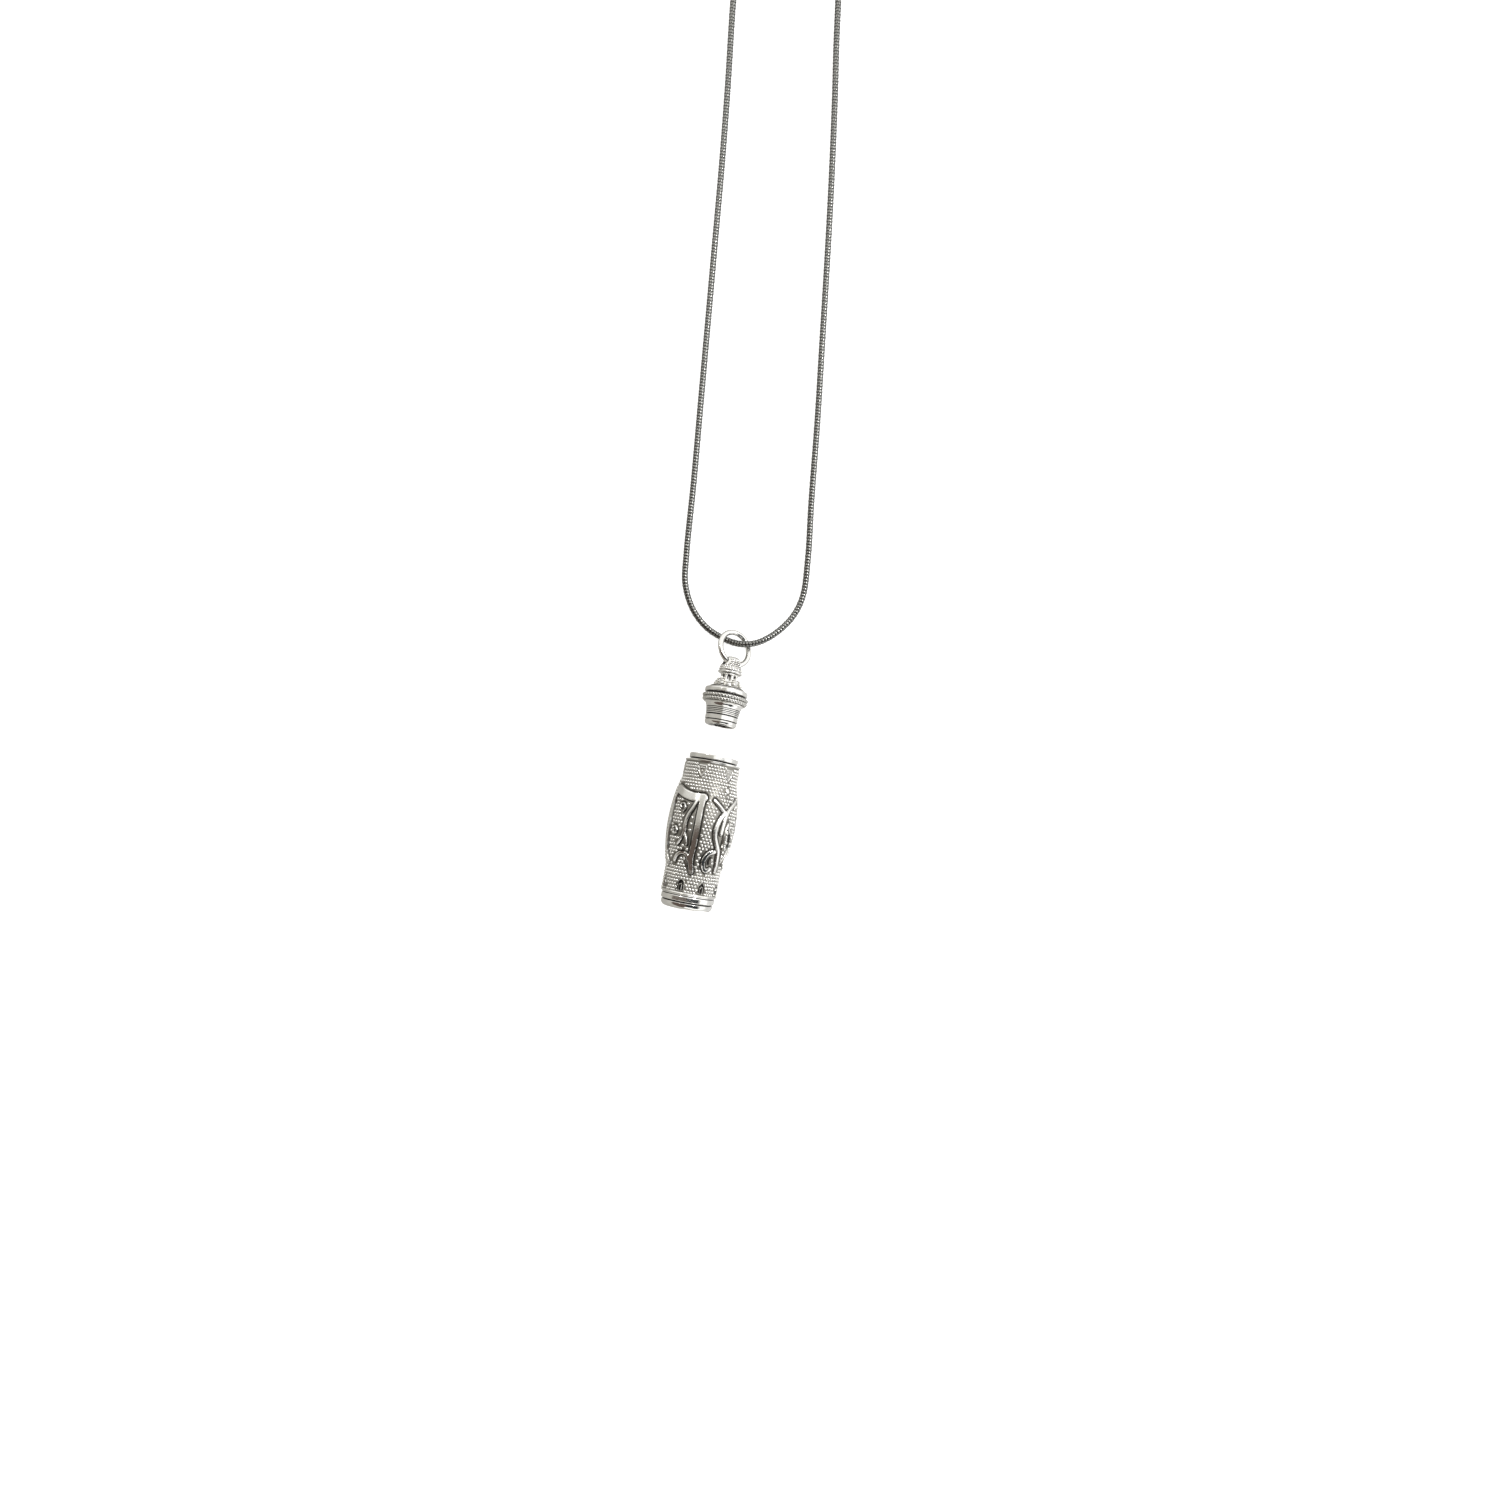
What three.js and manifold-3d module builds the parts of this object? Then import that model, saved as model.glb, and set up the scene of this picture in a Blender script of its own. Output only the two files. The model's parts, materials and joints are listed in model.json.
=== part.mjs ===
// A message-capsule pendant on a snake chain. A barrel-shaped capsule stands open: its plug cap is
// pulled off and hangs from the chain by a bail ring. Millimetres, +Z up, everything lies on z = 0,
// and +Y runs along the pendant from the foot of the barrel to its cap.
import * as THREE from "three";
import { mergeVertices } from "three/addons/utils/BufferGeometryUtils.js";
import Module from "manifold-3d";

const wasm = await Module();
wasm.setup();

// ---- driving dimensions -------------------------------------------------------------------------
const SEAT = 0.08; // gap between pieces that are soldered or pressed together
const FIT = 0.1; // running gap of the plug in the mouth, all round
const ROUND = 32; // facets round the barrel
const ROUND_SMALL = 24; // facets round the cap

// Barrel. Heights run from the flat of the foot towards the mouth.
const BARREL_LENGTH = 27.4;
const BULGE_RADIUS = 6.1; // widest, over the raised ornament
const BULGE_CURVE = 34; // radius of the arc that the barrel's side follows
const BULGE_SLOPE = 0.7; // length of the slope from each band up to the bulge
const BAND_RADIUS = 4.95; // the narrow band at each end of the shell
const BAND_LOW = 4.42; // lower band's height
const BAND_HIGH = 3.2; // upper band's height
const WALL = 0.9; // wall of the shell
const SPIGOT = 0.95; // how far each collar reaches into the shell
const FOOT_BEAD_RADIUS = 4.6;
const FOOT_BAND_RADIUS = 4.75;
const FOOT_HEIGHT = 2.55;
const FOOT_ROUND = 0.95; // rounding under the foot
const FOOT_BEAD_TOP = 1.15;
const DISC_RADIUS = 3.62; // floor plate of the capsule
const DISC_HEIGHT = 0.97;
const MOUTH_HEIGHT = 1.07; // of the polished collar at the mouth
const MOUTH_RADIUS = 4.4;
const MOUTH_NECK_RADIUS = 4.15; // groove under the mouth collar

// Cap. Heights run from the plane that closes on the mouth, towards the finial.
const PULL = 9.8; // how far the barrel stands off the cap
const PLUG_RADIUS = 3.15;
const PLUG_LIP_RADIUS = 3.05;
const PLUG_GROOVE = 0.2; // depth of the plug's grooves
const PLUG_LENGTH = 4.2;
const PLUG_HOLLOW = 1.95; // radius of the hollow in the plug
const PLUG_HOLLOW_DEPTH = 3.4;
const CONE_RADIUS = 3.75; // top of the cone that seats in the countersunk mouth
const CONE_HEIGHT = 0.6;
const CORE_RADIUS = 2.6; // spigot that carries the rope ring and the shoulder
const CORE_HEIGHT = 1.9;
const ROPE_RADIUS = 4.2;
const ROPE_HEIGHT = 1.3;
const SHOULDER_RADIUS = 3.9;
const SHOULDER_TOP = 3.2;
const NECK_SOCKET = 0.3; // height left under the lantern's peg
const LANTERN_PEG = 1.2;
const LANTERN_FOOT_RADIUS = 1.85;
const LANTERN_RADIUS = 1.5;
const LANTERN_TOP = 5.4;
const DOME_PEG = 0.8; // radius of the peg that carries the dome
const DOME_PEG_HEIGHT = 0.7;
const DOME_RADIUS = 2.2;
const DOME_TOP = 8.6;
const EYE_HEIGHT = 7.55; // cross hole that the bail ring passes through
const EYE_CLEARANCE = 0.36; // round the ring's wire, which curves through the hole
const BRACKETS = 6;
const BRACKET_PLACE = 2.26; // distance of each bracket from the axis
const BRACKET_RADIUS = 0.32;
const BRACKET_HEIGHT = 1.25;

// Bail ring
const RING_RADIUS = 3.15; // of the wire's centre line
const RING_WIRE = 0.425; // radius of the wire
const RING_ROLL = THREE.MathUtils.degToRad(33); // how far its left limb is lifted
const EYE_Y = 19.49; // where the ring's wire lies in the finial

// Chain and what closes it
const CHAIN_RADIUS = 0.6;
const CHAIN_SIDES = 8;
const CHAIN_STEPS = 80;
const COIL_CENTRE = [-15.5, 152.5];
const COIL_MIDDLE = 6.6; // radius at the middle of the turns
const COIL_LAYERS = 2; // turns side by side, and on each other
const TIE_WIDTH = 1.6;
const TIE_THICKNESS = 0.22;
const END_CAP_WALL = 0.25;
const END_CAP_LENGTH = 3.4;
const END_CAP_DEPTH = 2.2; // how far the chain goes in
const END_TAB_WIDTH = 1.7;
const END_TAB_THICKNESS = 0.6;
const END_HOLE_PLACE = 1.2; // from the cap's end to the hole in its tab
const END_HOLE_CLEARANCE = 0.35; // round the ring's wire
const CATCH_RADIUS = 1.75; // of the catch ring's centre line
const CATCH_WIRE = 0.35;
const LINK_RADIUS = 1.2; // of the clasp link's centre line
const LINK_WIRE = 0.3;
const CLASP_THICKNESS = 2.2;
const CLASP_RADIUS = 2.7;
const CLASP_HOLE_RADIUS = 1.5;
const CLASP_EYE_PLACE = 4.4; // from the middle of the hook to the eye
const CLASP_EYE_CLEARANCE = 0.38; // round the link's wire
const CLASP_EYE_RIM = 0.3;
const CLASP_EYE_THICKNESS = 0.8;
const CLASP_SLOT = 1.3; // height of the slot that the lever turns in
const PIN_RADIUS = 0.27;
const PIN_BOSS_RADIUS = 0.95; // of the clasp's body round the pin
const PIN_PLACE = [-1.75, 1.25]; // from the middle of the hook
const LEVER_THICKNESS = 0.75;
const LEVER_LENGTH = 2.9;
const LEVER_WIDTH = 0.66;
const LEVER_BOSS_RADIUS = 0.55;
const LEVER_AIM = THREE.MathUtils.degToRad(-7);
const THUMB_WIDTH = 0.8;
const THUMB_LENGTH = 1.75;
const SPRING_HEIGHT = 0.28;

// ---- shapes -------------------------------------------------------------------------------------
const points = (list) => list.map(([r, h]) => new THREE.Vector2(r, h));

// Points of an arc round (r, h), from one angle to another in degrees, 0 pointing away from the axis.
function arc(r, h, radius, from, to, steps) {
  const list = [];
  for (let i = 0; i <= steps; i++) {
    const angle = THREE.MathUtils.degToRad(from + ((to - from) * i) / steps);
    list.push([r + radius * Math.cos(angle), h + radius * Math.sin(angle)]);
  }
  return list;
}

// A turned solid whose outline starts and ends on the axis.
const turned = (outline, facets) => new THREE.LatheGeometry(points(outline), facets);

// A turned ring whose outline closes on itself.
const turnedRing = (outline, facets) => turned([...outline, outline[0]], facets);

// A round rod along Y, centred on its middle.
function rod(radius, length, facets) {
  const half = length / 2;
  return turned([[0, -half], [radius, -half], [radius, half], [0, half]], facets);
}

function wireRing(radius, wire, facets, sides) {
  const section = arc(radius, 0, wire, 0, 360 - 360 / sides, sides - 1);
  return turnedRing(section, facets);
}

function plate(shape, height, curveSegments) {
  return new THREE.ExtrudeGeometry(shape, { depth: height, bevelEnabled: false, curveSegments });
}

function tubeAlong(curve, radius, sides, steps) {
  const section = new THREE.Shape();
  section.absarc(0, 0, radius, 0, 2 * Math.PI, false);
  return new THREE.ExtrudeGeometry(section, {
    extrudePath: curve, steps, bevelEnabled: false, curveSegments: sides / 2,
  });
}

// ---- joining and cutting ------------------------------------------------------------------------
function toSolid(geometry) {
  const bare = geometry.clone();
  bare.deleteAttribute("normal");
  bare.deleteAttribute("uv");
  const merged = mergeVertices(bare, 1e-4);
  return new wasm.Manifold(new wasm.Mesh({
    numProp: 3,
    vertProperties: new Float32Array(merged.attributes.position.array),
    triVerts: new Uint32Array(merged.index.array),
  }));
}

function toGeometry(solid) {
  const mesh = solid.getMesh();
  const geometry = new THREE.BufferGeometry();
  geometry.setAttribute("position", new THREE.BufferAttribute(mesh.vertProperties, 3));
  geometry.setIndex(new THREE.BufferAttribute(mesh.triVerts, 1));
  geometry.computeVertexNormals();
  return geometry;
}

function cut(geometry, ...tools) {
  const solid = tools.reduce((rest, tool) => rest.subtract(toSolid(tool)), toSolid(geometry));
  return toGeometry(solid);
}

function join(geometry, ...others) {
  const solid = others.reduce((sum, other) => sum.add(toSolid(other)), toSolid(geometry));
  return toGeometry(solid);
}

// ---- materials ----------------------------------------------------------------------------------
const metal = (color, roughness) =>
  new THREE.MeshStandardMaterial({ color, roughness, metalness: 1 });
const SILVER = metal(0xd9d9d4, 0.18);
const BRIGHT_SILVER = metal(0xececea, 0.1);
const GUNMETAL = metal(0x55565a, 0.3);
const STEEL = metal(0x9b9da0, 0.25);

function piece(name, geometry, material) {
  const mesh = new THREE.Mesh(geometry, material);
  mesh.name = name;
  return mesh;
}

// ---- barrel -------------------------------------------------------------------------------------
const SHELL_START = FOOT_HEIGHT + SEAT;
const SHELL_END = BARREL_LENGTH - MOUTH_HEIGHT - SEAT;
const BULGE_START = SHELL_START + BAND_LOW + BULGE_SLOPE;
const BULGE_END = SHELL_END - BAND_HIGH - BULGE_SLOPE;
const BULGE_LENGTH = BULGE_END - BULGE_START;
const BULGE_MID = BULGE_START + BULGE_LENGTH / 2;
const SPIGOT_RADIUS = BAND_RADIUS - WALL - SEAT;
const MOUTH_BORE = PLUG_RADIUS + FIT;

// The barrel's side between its bands, as seen from outside or, with an inset, from within.
function bulge(inset, steps) {
  const half = THREE.MathUtils.radToDeg(Math.asin(BULGE_LENGTH / 2 / BULGE_CURVE));
  return arc(BULGE_RADIUS - BULGE_CURVE, BULGE_MID, BULGE_CURVE - inset, -half, half, steps);
}

// Inside, the wall is straight beside each collar's spigot.
function barrelShell() {
  const bore = BAND_RADIUS - WALL;
  const straight = SPIGOT + SEAT;
  return turnedRing([
    [bore, SHELL_START],
    [BAND_RADIUS, SHELL_START],
    [BAND_RADIUS, BULGE_START - BULGE_SLOPE],
    ...bulge(0, 10),
    [BAND_RADIUS, BULGE_END + BULGE_SLOPE],
    [BAND_RADIUS, SHELL_END],
    [bore, SHELL_END],
    [bore, SHELL_END - straight],
    ...bulge(WALL, 4).reverse(),
    [bore, SHELL_START + straight],
  ], ROUND);
}

function mouthCollar() {
  const foot = SHELL_END + SEAT;
  const lip = 0.15;
  return turnedRing([
    [MOUTH_BORE, foot - SPIGOT],
    [SPIGOT_RADIUS, foot - SPIGOT],
    [SPIGOT_RADIUS, foot],
    [MOUTH_NECK_RADIUS, foot],
    [MOUTH_NECK_RADIUS, foot + 0.25 * MOUTH_HEIGHT],
    [MOUTH_RADIUS, foot + 0.4 * MOUTH_HEIGHT],
    [MOUTH_RADIUS, BARREL_LENGTH - lip],
    [MOUTH_RADIUS - lip, BARREL_LENGTH],
    [CONE_RADIUS + FIT, BARREL_LENGTH],
    [MOUTH_BORE, BARREL_LENGTH - CONE_HEIGHT],
  ], ROUND);
}

function baseCollar() {
  const ledge = DISC_HEIGHT + SEAT;
  const recess = DISC_RADIUS + SEAT;
  const groove = 0.2;
  return turnedRing([
    [recess, 0],
    ...arc(FOOT_BEAD_RADIUS - FOOT_ROUND, FOOT_ROUND, FOOT_ROUND, -90, 0, 5),
    [FOOT_BEAD_RADIUS, FOOT_BEAD_TOP],
    [FOOT_BEAD_RADIUS - groove, FOOT_BEAD_TOP + 0.5 * groove],
    [FOOT_BAND_RADIUS, FOOT_BEAD_TOP + groove],
    [FOOT_BAND_RADIUS, FOOT_HEIGHT - groove],
    [FOOT_BAND_RADIUS - groove, FOOT_HEIGHT],
    [SPIGOT_RADIUS, FOOT_HEIGHT],
    [SPIGOT_RADIUS, FOOT_HEIGHT + SPIGOT],
    [MOUTH_BORE, FOOT_HEIGHT + SPIGOT],
    [MOUTH_BORE, ledge],
    [recess, ledge],
  ], ROUND);
}

function barrel() {
  const group = new THREE.Group();
  const disc = turned([[0, 0], [DISC_RADIUS, 0], [DISC_RADIUS, DISC_HEIGHT], [0, DISC_HEIGHT]], ROUND);
  group.add(
    piece("barrel_shell", barrelShell(), SILVER),
    piece("mouth_collar", mouthCollar(), BRIGHT_SILVER),
    piece("base_collar", baseCollar(), BRIGHT_SILVER),
    piece("base_disc", disc, BRIGHT_SILVER),
  );
  return group;
}

// ---- cap ----------------------------------------------------------------------------------------
const SHOULDER_START = ROPE_HEIGHT + SEAT;
const NECK_FLOOR = SHOULDER_TOP - NECK_SOCKET;
const LANTERN_START = SHOULDER_TOP + SEAT;
const DOME_START = LANTERN_TOP + SEAT;

function plugSleeve() {
  const hollowTop = PLUG_HOLLOW_DEPTH - PLUG_LENGTH;
  const grooveRadius = PLUG_LIP_RADIUS - PLUG_GROOVE;
  return turned([
    [0, hollowTop],
    [PLUG_HOLLOW, hollowTop],
    [PLUG_HOLLOW, -PLUG_LENGTH],
    [PLUG_LIP_RADIUS - 0.1, -PLUG_LENGTH],
    [PLUG_LIP_RADIUS, -PLUG_LENGTH + 0.1],
    [PLUG_LIP_RADIUS, -0.84 * PLUG_LENGTH],
    [grooveRadius, -0.8 * PLUG_LENGTH],
    [PLUG_LIP_RADIUS, -0.76 * PLUG_LENGTH],
    [PLUG_LIP_RADIUS, -0.52 * PLUG_LENGTH],
    [grooveRadius, -0.48 * PLUG_LENGTH],
    [PLUG_RADIUS, -0.44 * PLUG_LENGTH],
    [PLUG_RADIUS, -CONE_HEIGHT],
    [CONE_RADIUS, -SEAT],
    [CORE_RADIUS, -SEAT],
    [CORE_RADIUS, CORE_HEIGHT],
    [0, CORE_HEIGHT],
  ], ROUND_SMALL);
}

function ropeRing() {
  const half = ROPE_HEIGHT / 2;
  const inner = CORE_RADIUS + SEAT;
  return turnedRing([
    [inner, 0],
    ...arc(ROPE_RADIUS - half, half, half, -90, 90, 6),
    [inner, ROPE_HEIGHT],
  ], ROUND_SMALL);
}

function capShoulder() {
  const socket = CORE_RADIUS + SEAT;
  const groove = 0.2;
  return turned([
    [0, CORE_HEIGHT + SEAT],
    [socket, CORE_HEIGHT + SEAT],
    [socket, SHOULDER_START],
    [SHOULDER_RADIUS - groove, SHOULDER_START],
    [SHOULDER_RADIUS - groove, SHOULDER_START + 0.3],
    [SHOULDER_RADIUS, SHOULDER_START + 0.5],
    [SHOULDER_RADIUS, SHOULDER_TOP - 0.55],
    [SHOULDER_RADIUS - 0.3, SHOULDER_TOP - 0.25],
    [SHOULDER_RADIUS - 0.9, SHOULDER_TOP - 0.08],
    [LANTERN_FOOT_RADIUS, SHOULDER_TOP],
    [LANTERN_PEG + SEAT, SHOULDER_TOP],
    [LANTERN_PEG + SEAT, NECK_FLOOR],
    [0, NECK_FLOOR],
  ], ROUND_SMALL);
}

function lantern() {
  return turned([
    [0, NECK_FLOOR + SEAT],
    [LANTERN_PEG, NECK_FLOOR + SEAT],
    [LANTERN_PEG, LANTERN_START],
    [LANTERN_FOOT_RADIUS, LANTERN_START],
    [LANTERN_FOOT_RADIUS - 0.1, LANTERN_START + 0.3],
    [LANTERN_RADIUS, LANTERN_START + 0.7],
    [LANTERN_RADIUS, LANTERN_TOP - 0.5],
    [LANTERN_RADIUS + 0.15, LANTERN_TOP - 0.15],
    [LANTERN_RADIUS + 0.15, LANTERN_TOP],
    [DOME_PEG, LANTERN_TOP],
    [DOME_PEG, LANTERN_TOP + DOME_PEG_HEIGHT],
    [0, LANTERN_TOP + DOME_PEG_HEIGHT],
  ], ROUND_SMALL);
}

// The dome's crown is drilled through for the bail ring, along the ring's own wire.
function finialDome() {
  const socket = DOME_PEG + SEAT;
  const socketTop = LANTERN_TOP + DOME_PEG_HEIGHT + SEAT;
  const crown = DOME_RADIUS - 0.75;
  const dome = turned([
    [0, socketTop],
    [socket, socketTop],
    [socket, DOME_START],
    [DOME_RADIUS, DOME_START],
    [DOME_RADIUS, DOME_START + 0.3],
    [DOME_RADIUS - 0.2, DOME_START + 0.42],
    [DOME_RADIUS - 0.25, EYE_HEIGHT - 1.25],
    [DOME_RADIUS - 0.42, EYE_HEIGHT - 0.65],
    [crown + 0.1, EYE_HEIGHT - 0.1],
    [crown, EYE_HEIGHT + 0.35],
    [crown - 0.25, DOME_TOP - 0.3],
    [crown - 0.75, DOME_TOP - 0.06],
    [0, DOME_TOP],
  ], ROUND_SMALL);
  const eye = rod(RING_WIRE + EYE_CLEARANCE, 4 * DOME_RADIUS, 20);
  eye.rotateZ(Math.PI / 2).rotateY(RING_ROLL).translate(0, EYE_HEIGHT, 0);
  return cut(dome, eye);
}

function bracket() {
  const step = BRACKET_HEIGHT / 6;
  const neck = 0.7 * BRACKET_RADIUS;
  return turned([
    [0, 0],
    [neck, 0],
    [BRACKET_RADIUS, step],
    [neck, 2 * step],
    [0.9 * BRACKET_RADIUS, 3 * step],
    [0.85 * neck, 4 * step],
    [0.7 * BRACKET_RADIUS, 5 * step],
    [0.4 * BRACKET_RADIUS, 6 * step],
    [0, 6 * step],
  ], 10);
}

function cap() {
  const group = new THREE.Group();
  group.add(
    piece("plug_sleeve", plugSleeve(), BRIGHT_SILVER),
    piece("rope_ring", ropeRing(), SILVER),
    piece("cap_shoulder", capShoulder(), BRIGHT_SILVER),
    piece("lantern", lantern(), SILVER),
    piece("finial_dome", finialDome(), SILVER),
  );
  for (let i = 0; i < BRACKETS; i++) {
    const angle = (2 * Math.PI * (i + 0.5)) / BRACKETS;
    const mesh = piece(`scroll_bracket_${i + 1}`, bracket(), SILVER);
    const [x, z] = [BRACKET_PLACE * Math.sin(angle), BRACKET_PLACE * Math.cos(angle)];
    mesh.position.set(x, SHOULDER_TOP + SEAT, z);
    group.add(mesh);
  }
  return group;
}

// ---- how the pendant lies -----------------------------------------------------------------------
// The barrel's bulge and the rope ring's rim both touch the ground, so the axis dips to the cap.
const CAP_START = BARREL_LENGTH + PULL;
const ROPE_HALF = ROPE_HEIGHT / 2;
const ARC_INSET = BULGE_CURVE - BULGE_RADIUS;
const LINE = [CAP_START + ROPE_HALF - BULGE_MID, ARC_INSET + ROPE_RADIUS - ROPE_HALF];
const DIP =
  Math.atan2(LINE[0], LINE[1]) - Math.acos((BULGE_CURVE - ROPE_HALF) / Math.hypot(...LINE));
const MID_HEIGHT = BULGE_CURVE - ARC_INSET * Math.cos(DIP);

// The ring lies in the eye and leans on the ground on its right limb.
const EYE_ALONG = CAP_START + EYE_HEIGHT - BULGE_MID; // from the widest of the barrel to the eye
const EYE_Z = MID_HEIGHT - EYE_ALONG * Math.sin(DIP);

function ringSlope() {
  const lift = (EYE_Z - RING_WIRE) / RING_RADIUS;
  const roll = Math.sin(RING_ROLL) ** 2;
  return Math.asin((lift - Math.sqrt(lift ** 2 - roll * (lift ** 2 - roll))) / roll);
}

function pendant() {
  const group = new THREE.Group();
  const capGroup = cap();
  capGroup.position.y = CAP_START;
  group.add(barrel(), capGroup);
  group.rotation.x = -DIP;
  const toEye = CAP_START + EYE_HEIGHT;
  group.position.set(0, EYE_Y - toEye * Math.cos(DIP), EYE_Z + toEye * Math.sin(DIP));
  return group;
}

function bailRing() {
  const slope = ringSlope();
  const halfEye = DOME_RADIUS - 0.65;
  const sag = RING_RADIUS - Math.sqrt(RING_RADIUS ** 2 - halfEye ** 2);
  const geometry = wireRing(RING_RADIUS, RING_WIRE, 36, 10);
  geometry.rotateX(Math.PI / 2).rotateY(RING_ROLL).translate(0, RING_RADIUS - sag / 2, 0);
  const mesh = piece("bail_ring", geometry, BRIGHT_SILVER);
  mesh.rotation.x = -slope;
  mesh.position.set(0, EYE_Y, EYE_Z);
  return mesh;
}

// ---- chain --------------------------------------------------------------------------------------
const COIL_DEPTH = 2 * COIL_LAYERS * CHAIN_RADIUS + SEAT;
const END_CAP_RADIUS = CHAIN_RADIUS + FIT + END_CAP_WALL;
const END_HOLE_RADIUS = Math.max(LINK_WIRE, CATCH_WIRE) + END_HOLE_CLEARANCE;

// The chain's way, end to end: up from its far end, through the bail ring and back to the coil.
const CHAIN_ROUTE = [
  [-4.31, 151.08, 0.97], [-4, 149, 0.97], [-3.7, 147, 0.97], [-3.1, 143.5, 0.7], [-2, 135.8, 0.62],
  [-0.3, 124.9, 0.62], [1.8, 110.2, 0.62], [3.7, 95.6, 0.62], [5.5, 81, 0.62], [7.3, 66.3, 0.62],
  [8.9, 51.6, 0.62], [10.2, 41, 0.62], [10.5, 34, 0.62], [9.3, 30, 0.75], [6.9, 26.6, 1.3],
  [4.3, 24.4, 1.85], [2.1, 23.5, 1.95], [-0.2, 23.4, 1.2], [-2.8, 24, 0.65], [-6, 25.4, 0.62],
  [-9, 28.2, 0.62], [-11.2, 32.5, 0.62], [-12, 38, 0.62], [-13.1, 51.3, 0.62], [-14.5, 66, 0.62],
  [-15.9, 80.8, 0.62], [-17.3, 95.5, 0.62], [-18.7, 110.2, 0.62], [-20.3, 124.9, 0.62],
  [-21.3, 133, 0.62], [-22.1, 140, 0.7], [-22.5, 146.6, 0.95],
];
// From the coil's last turn to the end that carries the clasp.
const TAIL_ROUTE = [
  [-14.8, 161.2, 1.8], [-12.6, 162.4, 1.35], [-10.6, 162.95, 1.02], [-9.2, 163, 0.97],
  [-7.7, 163, 0.97],
];

const alongRoute = (list) =>
  new THREE.CatmullRomCurve3(list.map((point) => new THREE.Vector3(...point)));

function chainCoil() {
  const half = COIL_DEPTH / 2;
  const bevel = 0.35;
  const inner = COIL_MIDDLE - half;
  const outer = COIL_MIDDLE + half;
  const ring = turnedRing([
    [inner, bevel],
    [inner + bevel, 0],
    [outer - bevel, 0],
    [outer, bevel],
    [outer, COIL_DEPTH - bevel],
    [outer - bevel, COIL_DEPTH],
    [inner + bevel, COIL_DEPTH],
    [inner, COIL_DEPTH - bevel],
  ], ROUND);
  ring.rotateX(Math.PI / 2);
  const mesh = piece("chain_coil", ring, GUNMETAL);
  mesh.position.set(...COIL_CENTRE, TIE_THICKNESS + SEAT);
  return mesh;
}

// A flat band round one side of the coil.
function coilTie() {
  const inner = COIL_DEPTH / 2 + SEAT;
  const outer = inner + TIE_THICKNESS;
  const square = (half) => points([[-half, -half], [half, -half], [half, half], [-half, half]]);
  const band = new THREE.Shape(square(outer));
  band.holes.push(new THREE.Path(square(inner).reverse()));
  const geometry = plate(band, TIE_WIDTH, 1).translate(0, 0, -TIE_WIDTH / 2).rotateX(Math.PI / 2);
  const mesh = piece("coil_tie", geometry, BRIGHT_SILVER);
  mesh.position.set(COIL_CENTRE[0] + COIL_MIDDLE, COIL_CENTRE[1], outer);
  return mesh;
}

// A cup that the chain is fixed in, along +Y from its mouth, with a drilled tab, flat in XY.
function endCap() {
  const tabLength = END_HOLE_PLACE + END_HOLE_RADIUS + END_CAP_WALL;
  const rooted = 0.5; // how far the tab runs into the cup's end
  const cup = turned([
    [0, END_CAP_DEPTH],
    [CHAIN_RADIUS + FIT, END_CAP_DEPTH],
    [CHAIN_RADIUS + FIT, 0],
    [END_CAP_RADIUS, 0],
    [END_CAP_RADIUS, END_CAP_LENGTH - 0.4],
    [0.6 * END_CAP_RADIUS, END_CAP_LENGTH],
    [0, END_CAP_LENGTH],
  ], 16);
  const tab = new THREE.BoxGeometry(END_TAB_WIDTH, tabLength + rooted, END_TAB_THICKNESS);
  tab.translate(0, END_CAP_LENGTH + (tabLength - rooted) / 2, 0);
  const hole = rod(END_HOLE_RADIUS, 4, 16).rotateX(Math.PI / 2);
  return cut(join(cup, tab), hole.translate(0, END_CAP_LENGTH + END_HOLE_PLACE, 0));
}

// The near end: its tab stands on edge, and the catch ring leans from it to the ground.
function nearEnd() {
  const group = new THREE.Group();
  const [end, mouth] = CHAIN_ROUTE;
  const cap = piece("end_cap_near", endCap().rotateY(Math.PI / 2), BRIGHT_SILVER);
  const lean = Math.asin((mouth[2] - CATCH_WIRE) / (2 * CATCH_RADIUS));
  const ring = piece("catch_ring", wireRing(CATCH_RADIUS, CATCH_WIRE, 24, 8), BRIGHT_SILVER);
  ring.geometry.rotateX(Math.PI / 2).translate(0, CATCH_RADIUS, 0);
  ring.rotation.x = -lean;
  ring.position.y = END_CAP_LENGTH + END_HOLE_PLACE;
  group.add(cap, ring);
  group.position.set(...mouth);
  group.rotation.z = Math.atan2(end[1] - mouth[1], end[0] - mouth[0]) - Math.PI / 2;
  return group;
}

// ---- clasp --------------------------------------------------------------------------------------
// Its own frame: the hook's middle at the origin, its eye on -X, its gate on +Y, flat in XY.
const CLASP_EYE_RADIUS = LINK_WIRE + CLASP_EYE_CLEARANCE;

const drum = (radius, height, x, y, facets) =>
  rod(radius, height, facets).rotateX(Math.PI / 2).translate(x, y, 0);

function block(x0, x1, y0, y1, height) {
  const geometry = new THREE.BoxGeometry(x1 - x0, y1 - y0, height);
  return geometry.translate((x0 + x1) / 2, (y0 + y1) / 2, 0);
}

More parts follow.
